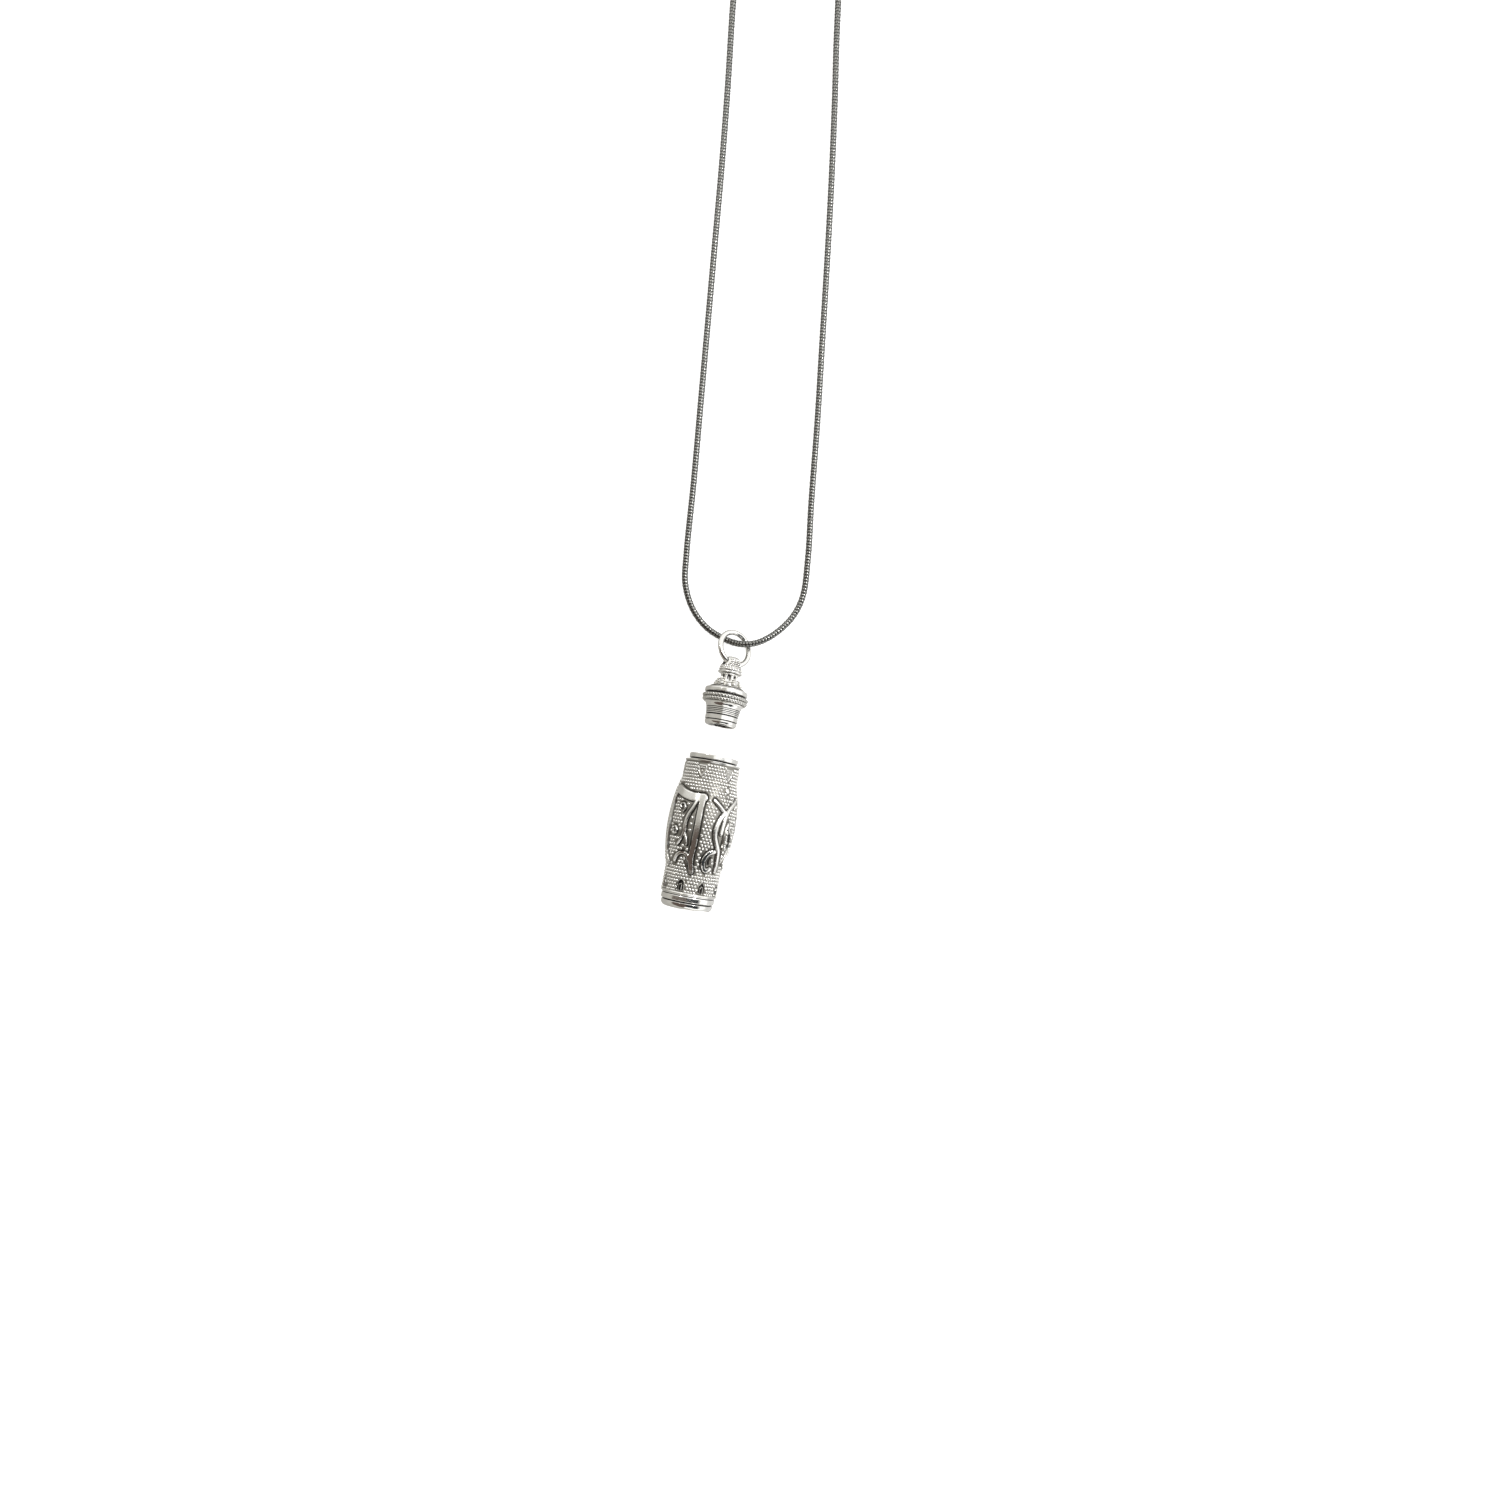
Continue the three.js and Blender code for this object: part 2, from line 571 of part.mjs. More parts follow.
// A round hook with its gate open, a slot for the lever and a thin eye on a neck.
function claspBody() {
  const neckStart = 1.2 - CLASP_EYE_PLACE;
  const neckWidth = 0.8;
  const tangWidth = 0.6;
  const full = join(
    drum(CLASP_RADIUS, CLASP_THICKNESS, 0, 0, 36),
    drum(PIN_BOSS_RADIUS, CLASP_THICKNESS, ...PIN_PLACE, 20),
    block(neckStart, -0.7 * CLASP_RADIUS, -neckWidth, neckWidth, CLASP_THICKNESS),
    block(-CLASP_EYE_PLACE, -0.8 * CLASP_RADIUS, -tangWidth, tangWidth, CLASP_EYE_THICKNESS),
    drum(CLASP_EYE_RADIUS + CLASP_EYE_RIM, CLASP_EYE_THICKNESS, -CLASP_EYE_PLACE, 0, 20),
  );
  const through = 2 * CLASP_THICKNESS;
  const gateEdge = PIN_PLACE[0] + 0.75;
  const gateEnd = 1.25;
  return cut(
    full,
    drum(CLASP_HOLE_RADIUS, through, 0.3, 0.1, 28),
    drum(CLASP_EYE_RADIUS, through, -CLASP_EYE_PLACE, 0, 16),
    drum(PIN_RADIUS + SEAT, through, ...PIN_PLACE, 14),
    block(gateEdge, gateEnd, 0.6, 2 * CLASP_RADIUS, through),
    block(-2 * CLASP_RADIUS, gateEdge, 0.3, 2 * CLASP_RADIUS, CLASP_SLOT),
  );
}

function claspLever() {
  const bar = block(0, LEVER_LENGTH, -LEVER_WIDTH / 2, LEVER_WIDTH / 2, LEVER_THICKNESS);
  const tip = drum(LEVER_WIDTH / 2, LEVER_THICKNESS, LEVER_LENGTH, 0, 12);
  const thumb = block(0, THUMB_WIDTH, 0, THUMB_LENGTH, LEVER_THICKNESS);
  thumb.translate(0.95, 0, 0).rotateZ(0.25);
  const boss = drum(LEVER_BOSS_RADIUS, LEVER_THICKNESS, 0, 0, 18);
  const hole = drum(PIN_RADIUS + SEAT, 2 * LEVER_THICKNESS, 0, 0, 14);
  return cut(join(boss, bar, tip, thumb), hole).rotateZ(LEVER_AIM);
}

function clasp() {
  const group = new THREE.Group();
  const pinLength = CLASP_THICKNESS - 0.04;
  const bore = PIN_RADIUS + SEAT;
  const spring = turnedRing([
    [bore, 0],
    [LEVER_BOSS_RADIUS, 0],
    [LEVER_BOSS_RADIUS, SPRING_HEIGHT],
    [bore, SPRING_HEIGHT],
  ], 16);
  spring.rotateX(Math.PI / 2).translate(...PIN_PLACE, SEAT - CLASP_SLOT / 2);
  const lever = claspLever().translate(...PIN_PLACE, (CLASP_SLOT - LEVER_THICKNESS) / 2 - SEAT);
  group.add(
    piece("clasp_body", claspBody(), BRIGHT_SILVER),
    piece("clasp_lever", lever, BRIGHT_SILVER),
    piece("clasp_pin", drum(PIN_RADIUS, pinLength, ...PIN_PLACE, 14), STEEL),
    piece("clasp_spring", spring, STEEL),
  );
  return group;
}

// The far end: cap, link and clasp in a row along +X.
function farEnd() {
  const group = new THREE.Group();
  const height = TAIL_ROUTE.at(-1)[2];
  const linkHeight = LINK_RADIUS + LINK_WIRE;
  const reach = (z) => Math.sqrt(LINK_RADIUS ** 2 - (linkHeight - z) ** 2);
  const cap = piece("end_cap_far", endCap().rotateZ(-Math.PI / 2), BRIGHT_SILVER);
  cap.position.z = height;
  const hole = END_CAP_LENGTH + END_HOLE_PLACE;
  const link = piece("clasp_link", wireRing(LINK_RADIUS, LINK_WIRE, 20, 8), BRIGHT_SILVER);
  link.position.set(hole + reach(height), 0, linkHeight);
  const hook = clasp();
  const claspHeight = CLASP_THICKNESS / 2;
  hook.position.set(link.position.x + reach(claspHeight) + CLASP_EYE_PLACE, 0, claspHeight);
  group.add(cap, link, hook);
  const end = TAIL_ROUTE.at(-1);
  group.position.set(end[0] - END_CAP_DEPTH + FIT, end[1], 0);
  return group;
}

function chain() {
  const group = new THREE.Group();
  const main = tubeAlong(alongRoute(CHAIN_ROUTE), CHAIN_RADIUS, CHAIN_SIDES, CHAIN_STEPS);
  const tail = tubeAlong(alongRoute(TAIL_ROUTE), CHAIN_RADIUS, CHAIN_SIDES, 4);
  group.add(
    piece("snake_chain", main, GUNMETAL),
    piece("chain_tail", tail, GUNMETAL),
    chainCoil(),
    coilTie(),
    nearEnd(),
    farEnd(),
  );
  return group;
}

const necklace = new THREE.Group();
necklace.add(pendant(), bailRing(), chain());

export default necklace;
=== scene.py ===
"""A silver message-capsule pendant, open, hung on a dark snake chain. Lengths are in millimetres until a
mesh is made, and the pendant's own frame has Y from the barrel's foot to its cap and Z up from the ground."""

import json
import math

import bmesh
import bpy
import numpy as np
from mathutils import Matrix, Vector


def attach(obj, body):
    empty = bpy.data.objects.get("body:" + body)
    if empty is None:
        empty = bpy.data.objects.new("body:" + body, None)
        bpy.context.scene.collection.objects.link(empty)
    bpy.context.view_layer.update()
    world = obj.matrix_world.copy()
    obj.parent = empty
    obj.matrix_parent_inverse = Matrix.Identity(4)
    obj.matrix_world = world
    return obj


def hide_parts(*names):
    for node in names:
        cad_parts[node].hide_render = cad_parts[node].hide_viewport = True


MM = 0.001
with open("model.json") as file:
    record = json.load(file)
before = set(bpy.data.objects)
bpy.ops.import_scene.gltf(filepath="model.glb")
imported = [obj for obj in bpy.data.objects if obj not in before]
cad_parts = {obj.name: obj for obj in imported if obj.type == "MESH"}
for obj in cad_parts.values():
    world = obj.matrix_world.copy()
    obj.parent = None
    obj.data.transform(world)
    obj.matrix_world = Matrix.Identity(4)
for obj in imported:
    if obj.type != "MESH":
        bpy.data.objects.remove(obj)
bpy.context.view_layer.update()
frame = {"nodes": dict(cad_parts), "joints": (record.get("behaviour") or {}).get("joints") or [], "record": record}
joints = {joint["name"]: joint for joint in frame["joints"]}

# ---- where things lie -----------------------------------------------------------------------------
FOOT = Vector(frame["record"]["mounts"][0]["pos_m"])
AXIS = Vector(joints["barrel_pull"]["axis"]).normalized()
ACROSS = Vector((1, 0, 0))
UP = ACROSS.cross(AXIS)
PENDANT = Matrix.Translation(FOOT) @ Matrix((ACROSS, AXIS, UP)).transposed().to_4x4()


def reach(node):
    """How far along the pendant's axis a CAD node starts and ends, and its greatest radius, in mm."""
    flat = np.array([v.co for v in frame["nodes"][node].data.vertices]) - np.array(FOOT)
    along = flat @ np.array(AXIS)
    radius = np.linalg.norm(flat - along[:, None] * np.array(AXIS), axis=1)
    return along.min() / MM, along.max() / MM, radius.max() / MM


# ---- camera ---------------------------------------------------------------------------------------
CAMERA_PLACE = (6.1, 4.56, 180)  # straight above the ground
CAMERA_TURN = math.radians(10.5)
VIEW_WIDTH = 277.5  # of the ground that the picture shows
SENSOR = 36


def add_camera():
    data = bpy.data.cameras.new("camera")
    data.sensor_width = SENSOR
    data.lens = SENSOR * CAMERA_PLACE[2] / VIEW_WIDTH
    data.clip_start = 0.005
    camera = bpy.data.objects.new("camera", data)
    camera.location = Vector(CAMERA_PLACE) * MM
    camera.rotation_euler = (0, 0, CAMERA_TURN)
    bpy.context.scene.collection.objects.link(camera)
    bpy.context.scene.camera = camera


add_camera()


# ---- mesh tools -----------------------------------------------------------------------------------
def solid(name, points, faces, body, nodes, material, place=None, sharp=35, marks=None):
    """A piece from points in mm, faces and optional numbers per point, which rides on a body."""
    mesh = bpy.data.meshes.new(name)
    mesh.from_pydata([tuple(p) for p in np.asarray(points) * MM], [], faces)
    for mark, values in (marks or {}).items():
        layer = mesh.attributes.new(mark, "FLOAT", "POINT")
        layer.data.foreach_set("value", np.asarray(values, np.float32))
    work = bmesh.new()
    work.from_mesh(mesh)
    bmesh.ops.remove_doubles(work, verts=work.verts, dist=1e-7)
    bmesh.ops.recalc_face_normals(work, faces=work.faces)
    work.to_mesh(mesh)
    work.free()
    if place is not None:
        mesh.transform(place)
    return finished(bpy.data.objects.new(name, mesh), body, nodes, material, sharp)


def finished(piece, body, nodes, material, sharp):
    """The piece with its material and shading, riding on its body in place of its CAD nodes."""
    if piece.name not in bpy.context.scene.objects:
        bpy.context.scene.collection.objects.link(piece)
    piece.data.materials.clear()
    piece.data.materials.append(material)
    piece.data.shade_smooth()
    piece.data.set_sharp_from_angle(angle=math.radians(sharp))
    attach(piece, body)
    if nodes:
        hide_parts(*nodes)
    return piece


def full(point):
    """A point of an outline as its radius, its height and its painted shade, which is 0 where it isn't said."""
    return np.array([*point, 0][:3], float)


def refine(outline, step):
    """The outline with points added so that none of its sides is longer than step."""
    dense = []
    for a, b in zip(outline, outline[1:]):
        count = max(1, math.ceil(math.dist(a[:2], b[:2]) / step))
        a, b = full(a), full(b)
        dense += [tuple(a + (b - a) * i / count) for i in range(count)]
    return dense + [outline[-1]]


def held(outline, near=0.04):
    """The outline with a point close to each end of its long sides, which keeps them flat when shaded."""
    more = []
    for a, b in zip(outline, outline[1:]):
        length = math.dist(a[:2], b[:2])
        a, b = full(a), full(b)
        more.append(tuple(a))
        if length > 4 * near:
            more += [tuple(a + (b - a) * near / length), tuple(b + (a - b) * near / length)]
    return more + [outline[-1]]


def arc(r, s, radius, start, end, steps):
    """Points of an arc round (r, s), in degrees from the direction away from the axis."""
    turn = [math.radians(start + (end - start) * i / steps) for i in range(steps + 1)]
    return [(r + radius * math.cos(a), s + radius * math.sin(a)) for a in turn]


def grid_faces(rows, columns, closed):
    """Faces of a grid that wraps round its columns and, where closed, its rows."""
    faces = []
    for i in range(rows if closed else rows - 1):
        a, b = i * columns, (i + 1) % rows * columns
        faces += [
            (a + j, a + (j + 1) % columns, b + (j + 1) % columns, b + j) for j in range(columns)
        ]
    return faces


def lathe(name, outline, columns, body, nodes, material, swell=None, place=PENDANT, sharp=35):
    """A turned solid. A third number in a point of its outline says how much painted shade darkens it there.
    swell(angle, height, radius) gives what is added to the radius, and how much painted shade that place gets."""
    rows = np.array([full(point) for point in held(outline)])
    r, s, dark = rows.T[..., None] * np.ones(columns)
    angle = np.arange(columns) * 2 * math.pi / columns * np.ones_like(r)
    if swell:
        change, shade = swell(angle, s, r)
        r, dark = r + change, np.maximum(dark, shade)
    points = np.stack([r * np.sin(angle), s, r * np.cos(angle)], -1).reshape(-1, 3)
    faces = grid_faces(len(rows), columns, outline[0][0] > 0)
    # Painted shade: the hollow mark carries the darkness of grooves and hollows to the material.
    marks = {"hollow": dark.ravel()}
    return solid(name, points, faces, body, nodes, material, place, sharp, marks)


def ring_mesh(radius, wire, sides, columns=96):
    """Points and faces of a round wire ring in the XY plane."""
    turn = np.arange(columns) * 2 * math.pi / columns
    bend = np.arange(sides) * 2 * math.pi / sides
    out = radius + wire * np.cos(bend)[None, :]
    x, y = out * np.cos(turn)[:, None], out * np.sin(turn)[:, None]
    z = wire * np.sin(bend)[None, :] * np.ones((columns, 1))
    return np.stack([x, y, z], -1).reshape(-1, 3), grid_faces(columns, sides, True)


def softened(node, body, material, bevel):
    """A CAD node with its edges rounded off."""
    piece = bpy.data.objects.new(node + "_rounded", frame["nodes"][node].data.copy())
    bpy.context.scene.collection.objects.link(piece)
    work = bmesh.new()
    work.from_mesh(piece.data)
    bmesh.ops.remove_doubles(work, verts=work.verts, dist=1e-6)
    bmesh.ops.dissolve_limit(work, angle_limit=math.radians(3), verts=work.verts, edges=work.edges)
    work.to_mesh(piece.data)
    work.free()
    rounding = piece.modifiers.new("rounding", "BEVEL")
    rounding.width = bevel * MM
    rounding.segments = 3
    rounding.limit_method = "ANGLE"
    rounding.angle_limit = math.radians(32)
    applied(piece)
    return finished(piece, body, [node], material, 40)


def applied(piece):
    """Leaves the piece with its modifiers' result as its own mesh."""
    bpy.context.view_layer.update()
    shape = bpy.data.meshes.new_from_object(piece.evaluated_get(bpy.context.evaluated_depsgraph_get()))
    piece.modifiers.clear()
    piece.data = shape


# ---- materials ------------------------------------------------------------------------------------
class Nodes:
    """Short names for the shader nodes of one material."""

    def __init__(self, name):
        self.material = bpy.data.materials.new(name)
        self.material.use_nodes = True
        self.tree = self.material.node_tree
        self.shader = self.tree.nodes["Principled BSDF"]
        self.place = self.add("ShaderNodeTexCoord").outputs["Object"]

    def add(self, kind, **settings):
        node = self.tree.nodes.new(kind)
        for key, value in settings.items():
            setattr(node, key, value)
        return node

    def link(self, a, b):
        self.tree.links.new(a, b)

    def noise(self, per_mm, detail=3.0, rough=0.5):
        node = self.add("ShaderNodeTexNoise")
        node.inputs["Scale"].default_value = per_mm / MM
        node.inputs["Detail"].default_value = detail
        node.inputs["Roughness"].default_value = rough
        self.link(self.place, node.inputs["Vector"])
        return node.outputs["Fac"]

    def mark(self, name):
        return self.add("ShaderNodeAttribute", attribute_name=name).outputs["Fac"]

    def ramp(self, value, *stops):
        node = self.add("ShaderNodeValToRGB")
        while len(node.color_ramp.elements) < len(stops):
            node.color_ramp.elements.new(0.5)
        for element, (at, colour) in zip(node.color_ramp.elements, stops):
            element.position = at
            element.color = (*colour, 1) if isinstance(colour, tuple) else (colour,) * 3 + (1,)
        self.link(value, node.inputs["Fac"])
        return node.outputs["Color"]

    def mix(self, factor, a, b):
        node = self.add("ShaderNodeMix", data_type="RGBA")
        for socket, value in zip((node.inputs[0], node.inputs[6], node.inputs[7]), (factor, a, b)):
            if isinstance(value, tuple):
                socket.default_value = (*value, 1)
            else:
                self.link(value, socket)
        return node.outputs[2]

    def bump(self, height, depth):
        node = self.add("ShaderNodeBump")
        node.inputs["Distance"].default_value = depth * MM
        self.link(height, node.inputs["Height"])
        self.link(node.outputs["Normal"], self.shader.inputs["Normal"])


GROOVE_SHADE = (0.035, 0.033, 0.032)  # painted shade for the deepest grooves and hollows


def metal(name, tint, tarnish, rough, wear=0.5, grain=0.006):
    """Polished metal with faint tarnish in patches, uneven gloss and fine handling marks, and painted shade in the
    grooves and hollows that its hollow mark picks out.
    """
    n = Nodes(name)
    n.shader.inputs["Metallic"].default_value = 1.0
    patches = n.ramp(n.noise(0.55, 4.0, 0.6), (0.38, 0.0), (0.72, wear))
    aged = n.mix(patches, tint, tarnish)
    # Painted shade: the hollow mark darkens grooves and hollows towards the groove shade colour.
    n.link(n.mix(n.mark("hollow"), aged, GROOVE_SHADE), n.shader.inputs["Base Color"])
    n.link(n.ramp(n.noise(1.7, 5.0, 0.65), (0.3, rough), (0.75, rough * 2.1)), n.shader.inputs["Roughness"])
    n.bump(n.noise(6.5, 4.0, 0.6), grain)
    return n.material


def relief_metal():
    """Cast silver: its own bright colour where it is raised, with painted shade in the ground, along the raised
    lines, in each niche and in the bore.
    """
    n = Nodes("cast_silver")
    n.shader.inputs["Metallic"].default_value = 1.0
    # Painted shade: the ground, where raised is 0, is made dark; the raised parts keep the silver's bright colour.
    raised = n.ramp(n.mark("raised"), (0.2, (0.27, 0.26, 0.235)), (0.85, (0.94, 0.93, 0.9)))
    patches = n.ramp(n.noise(0.6, 4.0, 0.6), (0.4, 0.0), (0.8, 0.35))
    aged = n.mix(patches, raised, (0.6, 0.58, 0.52))
    # Painted shade: the niche mark darkens the outlines of the raised lines, the curl, the pits, the niches and
    # the bore.
    n.link(n.mix(n.mark("niche"), aged, GROOVE_SHADE), n.shader.inputs["Base Color"])
    n.link(n.ramp(n.mark("raised"), (0.0, 0.42), (0.8, 0.16)), n.shader.inputs["Roughness"])
    n.bump(n.noise(3.2, 4.0, 0.6), 0.006)
    return n.material


def plain_cast():
    """Cast silver without a ground: painted shade in its hollows and a faint painted highlight along its edges,
    both from the mesh's curvature.
    """
    n = Nodes("cast_silver_plain")
    n.shader.inputs["Metallic"].default_value = 1.0
    # Painted shade and highlight: pointiness turns concave places dark and convex edges brighter, and the hollow
    # mark adds painted shade in grooves and windows.
    hollows = n.add("ShaderNodeNewGeometry").outputs["Pointiness"]
    stops = (0.42, (0.1, 0.095, 0.085)), (0.5, (0.88, 0.87, 0.84)), (0.56, (0.96, 0.95, 0.93))
    n.link(n.mix(n.mark("hollow"), n.ramp(hollows, *stops), GROOVE_SHADE), n.shader.inputs["Base Color"])
    n.link(n.ramp(n.noise(1.9), (0.3, 0.14), (0.8, 0.3)), n.shader.inputs["Roughness"])
    n.bump(n.noise(5.0, 4.0), 0.012)
    return n.material


def grain_metal(name, low, high, rough=0.17):
    """Small raised beads: the metal's own colour on top, with painted shade down where they meet the ground."""
    n = Nodes(name)
    n.shader.inputs["Metallic"].default_value = 1.0
    # Painted shade: low raised values, at a bead's foot or in a chain's crevices, are darkened.
    n.link(n.ramp(n.mark("raised"), (0.05, low), (0.6, high)), n.shader.inputs["Base Color"])
    n.link(n.ramp(n.noise(2.2), (0.3, rough), (0.8, rough * 1.8)), n.shader.inputs["Roughness"])
    n.bump(n.noise(9.0), 0.008)
    return n.material


BRIGHT = metal("bright_silver", (0.93, 0.92, 0.9), (0.78, 0.76, 0.7), 0.09)
SILVER = metal("silver", (0.88, 0.87, 0.84), (0.62, 0.6, 0.54), 0.16, wear=0.7)
# Painted shade: the dark metal of the sheet inside the plug's hollow.
BORE_SHADE_METAL = metal("bore_painted_shade", (0.3, 0.29, 0.27), (0.12, 0.11, 0.1), 0.3, wear=0.9, grain=0.02)
CAST = relief_metal()
CAST_PLAIN = plain_cast()
GRAINS = grain_metal("silver_beads", (0.3, 0.29, 0.26), (0.97, 0.96, 0.93))
# The chain's darkest colour here is painted shade in the crevices between its rings.
CHAIN_METAL = grain_metal("dark_steel", (0.025, 0.025, 0.024), (0.33, 0.33, 0.315), 0.2)
STEEL = metal("spring_steel", (0.5, 0.51, 0.53), (0.28, 0.28, 0.29), 0.22, wear=0.6)


# ---- chain ----------------------------------------------------------------------------------------
CHAIN_WIDTH = 1.2
CHAIN_ROUTE = [
    (-4.31, 151.08, 0.97), (-4, 149, 0.97), (-3.7, 147, 0.97), (-3.1, 143.5, 0.7), (-2, 135.8, 0.62),
    (-0.3, 124.9, 0.62), (1.8, 110.2, 0.62), (3.7, 95.6, 0.62), (5.5, 81, 0.62), (7.3, 66.3, 0.62),
    (8.9, 51.6, 0.62), (10.2, 41, 0.62), (10.5, 34, 0.62), (9.3, 30, 0.75), (6.9, 26.6, 1.3),
    (4.3, 24.4, 1.85), (2.1, 23.5, 1.95), (-0.2, 23.4, 1.2), (-2.8, 24, 0.65), (-6, 25.4, 0.62),
    (-9, 28.2, 0.62), (-11.2, 32.5, 0.62), (-12, 38, 0.62), (-13.1, 51.3, 0.62), (-14.5, 66, 0.62),
    (-15.9, 80.8, 0.62), (-17.3, 95.5, 0.62), (-18.7, 110.2, 0.62), (-20.3, 124.9, 0.62),
    (-21.3, 133, 0.62), (-22.1, 140, 0.7), (-22.5, 146.6, 0.95),
]
TAIL_ROUTE = [
    (-14.8, 161.2, 1.8), (-12.6, 162.4, 1.35), (-10.6, 162.95, 1.02), (-9.2, 163, 0.97),
    (-7.7, 163, 0.97),
]
COIL_CENTRE = (-15.5, 152.5)
COIL_RADIUS = 7.2  # of the outer turns
COIL_START, COIL_END = 180, -960  # degrees, clockwise
COIL_STEP = 12
COIL_LOW = 0.9
LINKS_PER_MM = 1.78
LINK_RINGS, LINK_SIDES = 4, 16  # of the mesh of one link


def eased(value, start, end):
    t = min(1, max(0, (value - start) / (end - start)))
    return t * t * (3 - 2 * t)


def coil_point(angle):
    """Out, in, in, out: two turns on the ground, inner after outer, and two on them going back."""
    inward = eased(angle, -140, -190) - eased(angle, -770, -820)
    radius = COIL_RADIUS - CHAIN_WIDTH * inward
    height = COIL_LOW + CHAIN_WIDTH * eased(angle, -450, -500)
    a = math.radians(angle)
    return COIL_CENTRE[0] + radius * math.cos(a), COIL_CENTRE[1] + radius * math.sin(a), height


def smooth_line(knots, step, samples=24):
    """Points every step mm along a centripetal Catmull-Rom curve through the knots."""
    p = np.array(knots, float)
    p = np.vstack([2 * p[0] - p[1], p, 2 * p[-1] - p[-2]])
    line = []
    for a, b, c, d in zip(p, p[1:], p[2:], p[3:]):
        gaps = [max(1e-6, np.linalg.norm(v) ** 0.5) for v in (b - a, c - b, d - c)]
        t0, t1 = 0.0, gaps[0]
        t2, t3 = t1 + gaps[1], t1 + gaps[1] + gaps[2]
        for t in np.linspace(t1, t2, samples, endpoint=False)[:, None]:
            ab = ((t1 - t) * a + (t - t0) * b) / (t1 - t0)
            bc = ((t2 - t) * b + (t - t1) * c) / (t2 - t1)
            cd = ((t3 - t) * c + (t - t2) * d) / (t3 - t2)
            abc = ((t2 - t) * ab + (t - t0) * bc) / (t2 - t0)
            bcd = ((t3 - t) * bc + (t - t1) * cd) / (t3 - t1)
            line.append(((t2 - t) * abc + (t - t1) * bcd) / (t2 - t1))
    line = np.vstack([line, p[-2]])
    run = np.concatenate([[0], np.cumsum(np.linalg.norm(np.diff(line, axis=0), axis=1))])
    at = np.linspace(0, run[-1], max(2, round(run[-1] / step) + 1))
    return np.stack([np.interp(at, run, line[:, k]) for k in range(3)], -1)


def carried_frames(line):
    """Two directions across the line at each of its points, turned no more than the line bends."""
    ahead = np.gradient(line, axis=0)
    ahead /= np.linalg.norm(ahead, axis=1)[:, None]
    side = np.cross(ahead[0], (0, 0, 1))
    sides = []
    for direction in ahead:
        side = side - direction * (side @ direction)
        side /= np.linalg.norm(side)
        sides.append(side)
    sides = np.array(sides)
    return sides, np.cross(ahead, sides)


def snake_chain():
    """Overlapping wavy rings: each is a low ridge with beads round it, half a bead on from the last."""
    turns = [coil_point(a) for a in range(COIL_START - COIL_STEP, COIL_END - 1, -COIL_STEP)]
    line = smooth_line(CHAIN_ROUTE + turns + TAIL_ROUTE, 1 / LINKS_PER_MM / LINK_RINGS)
    right, up = carried_frames(line)
    step = np.arange(len(line))
    ridge = np.array([0.0, 0.75, 1.0, 0.75])[step % LINK_RINGS][:, None]
    parity = (step // LINK_RINGS % 2)[:, None]
    bend = np.arange(LINK_SIDES) * 2 * math.pi / LINK_SIDES
    bead = 0.5 + 0.5 * np.cos(math.pi * (np.arange(LINK_SIDES)[None, :] + parity))
    raised = ridge * (0.35 + 0.65 * bead)
    radius = CHAIN_WIDTH / 2 * (0.88 + 0.13 * raised)
    ring = right[:, None] * np.cos(bend)[None, :, None] + up[:, None] * np.sin(bend)[None, :, None]
    points = (line[:, None] + ring * radius[..., None]).reshape(-1, 3)
    faces = grid_faces(len(line), LINK_SIDES, False)
    faces += [tuple(range(LINK_SIDES))[::-1], tuple(range(len(points) - LINK_SIDES, len(points)))]
    nodes = ["snake_chain", "chain_coil", "chain_tail"]
    # The raised values also set painted shade: the crevices between rings are darkened in the chain's material.
    marks = {"raised": raised.ravel()}
    piece = solid("chain_links", points, faces, "chain", nodes, CHAIN_METAL, sharp=80, marks=marks)
    return piece, line


chain_piece, chain_line = snake_chain()
CHAIN_FITTINGS = [  # node, body, material and how far its edges are rounded
    ("end_cap_near", "chain", BRIGHT, 0.16), ("end_cap_far", "chain", BRIGHT, 0.16),
    ("coil_tie", "chain", BRIGHT, 0.07), ("clasp_body", "clasp", BRIGHT, 0.22),
    ("clasp_lever", "lever", BRIGHT, 0.12), ("clasp_pin", "clasp", STEEL, 0.06),
    ("clasp_spring", "clasp", STEEL, 0.05),
]
fittings = [softened(*fitting) for fitting in CHAIN_FITTINGS]


def wire_ring(node, body, radius, wire, sides):
    """A round ring laid on a CAD ring: its middle and its plane are the CAD ring's own."""
    flat = np.array([v.co for v in frame["nodes"][node].data.vertices])
    middle = flat.mean(0)
    _, _, axes = np.linalg.svd(flat - middle, full_matrices=False)
    place = Matrix.Translation(middle) @ Matrix(axes.tolist()).transposed().to_4x4()
    points, faces = ring_mesh(radius, wire, sides)
    return solid(node + "_wire", points, faces, body, [node], BRIGHT, place, 80)


# The radius of each ring's middle line, and of its wire.
CATCH_RING = (1.75, 0.35)
CLASP_LINK = (1.2, 0.3)
BAIL_RING = (3.13, 0.5)
fittings.append(wire_ring("catch_ring", "catch", *CATCH_RING, sides=14))
fittings.append(wire_ring("clasp_link", "link", *CLASP_LINK, sides=14))
wire_ring("bail_ring", "bail", *BAIL_RING, sides=24)


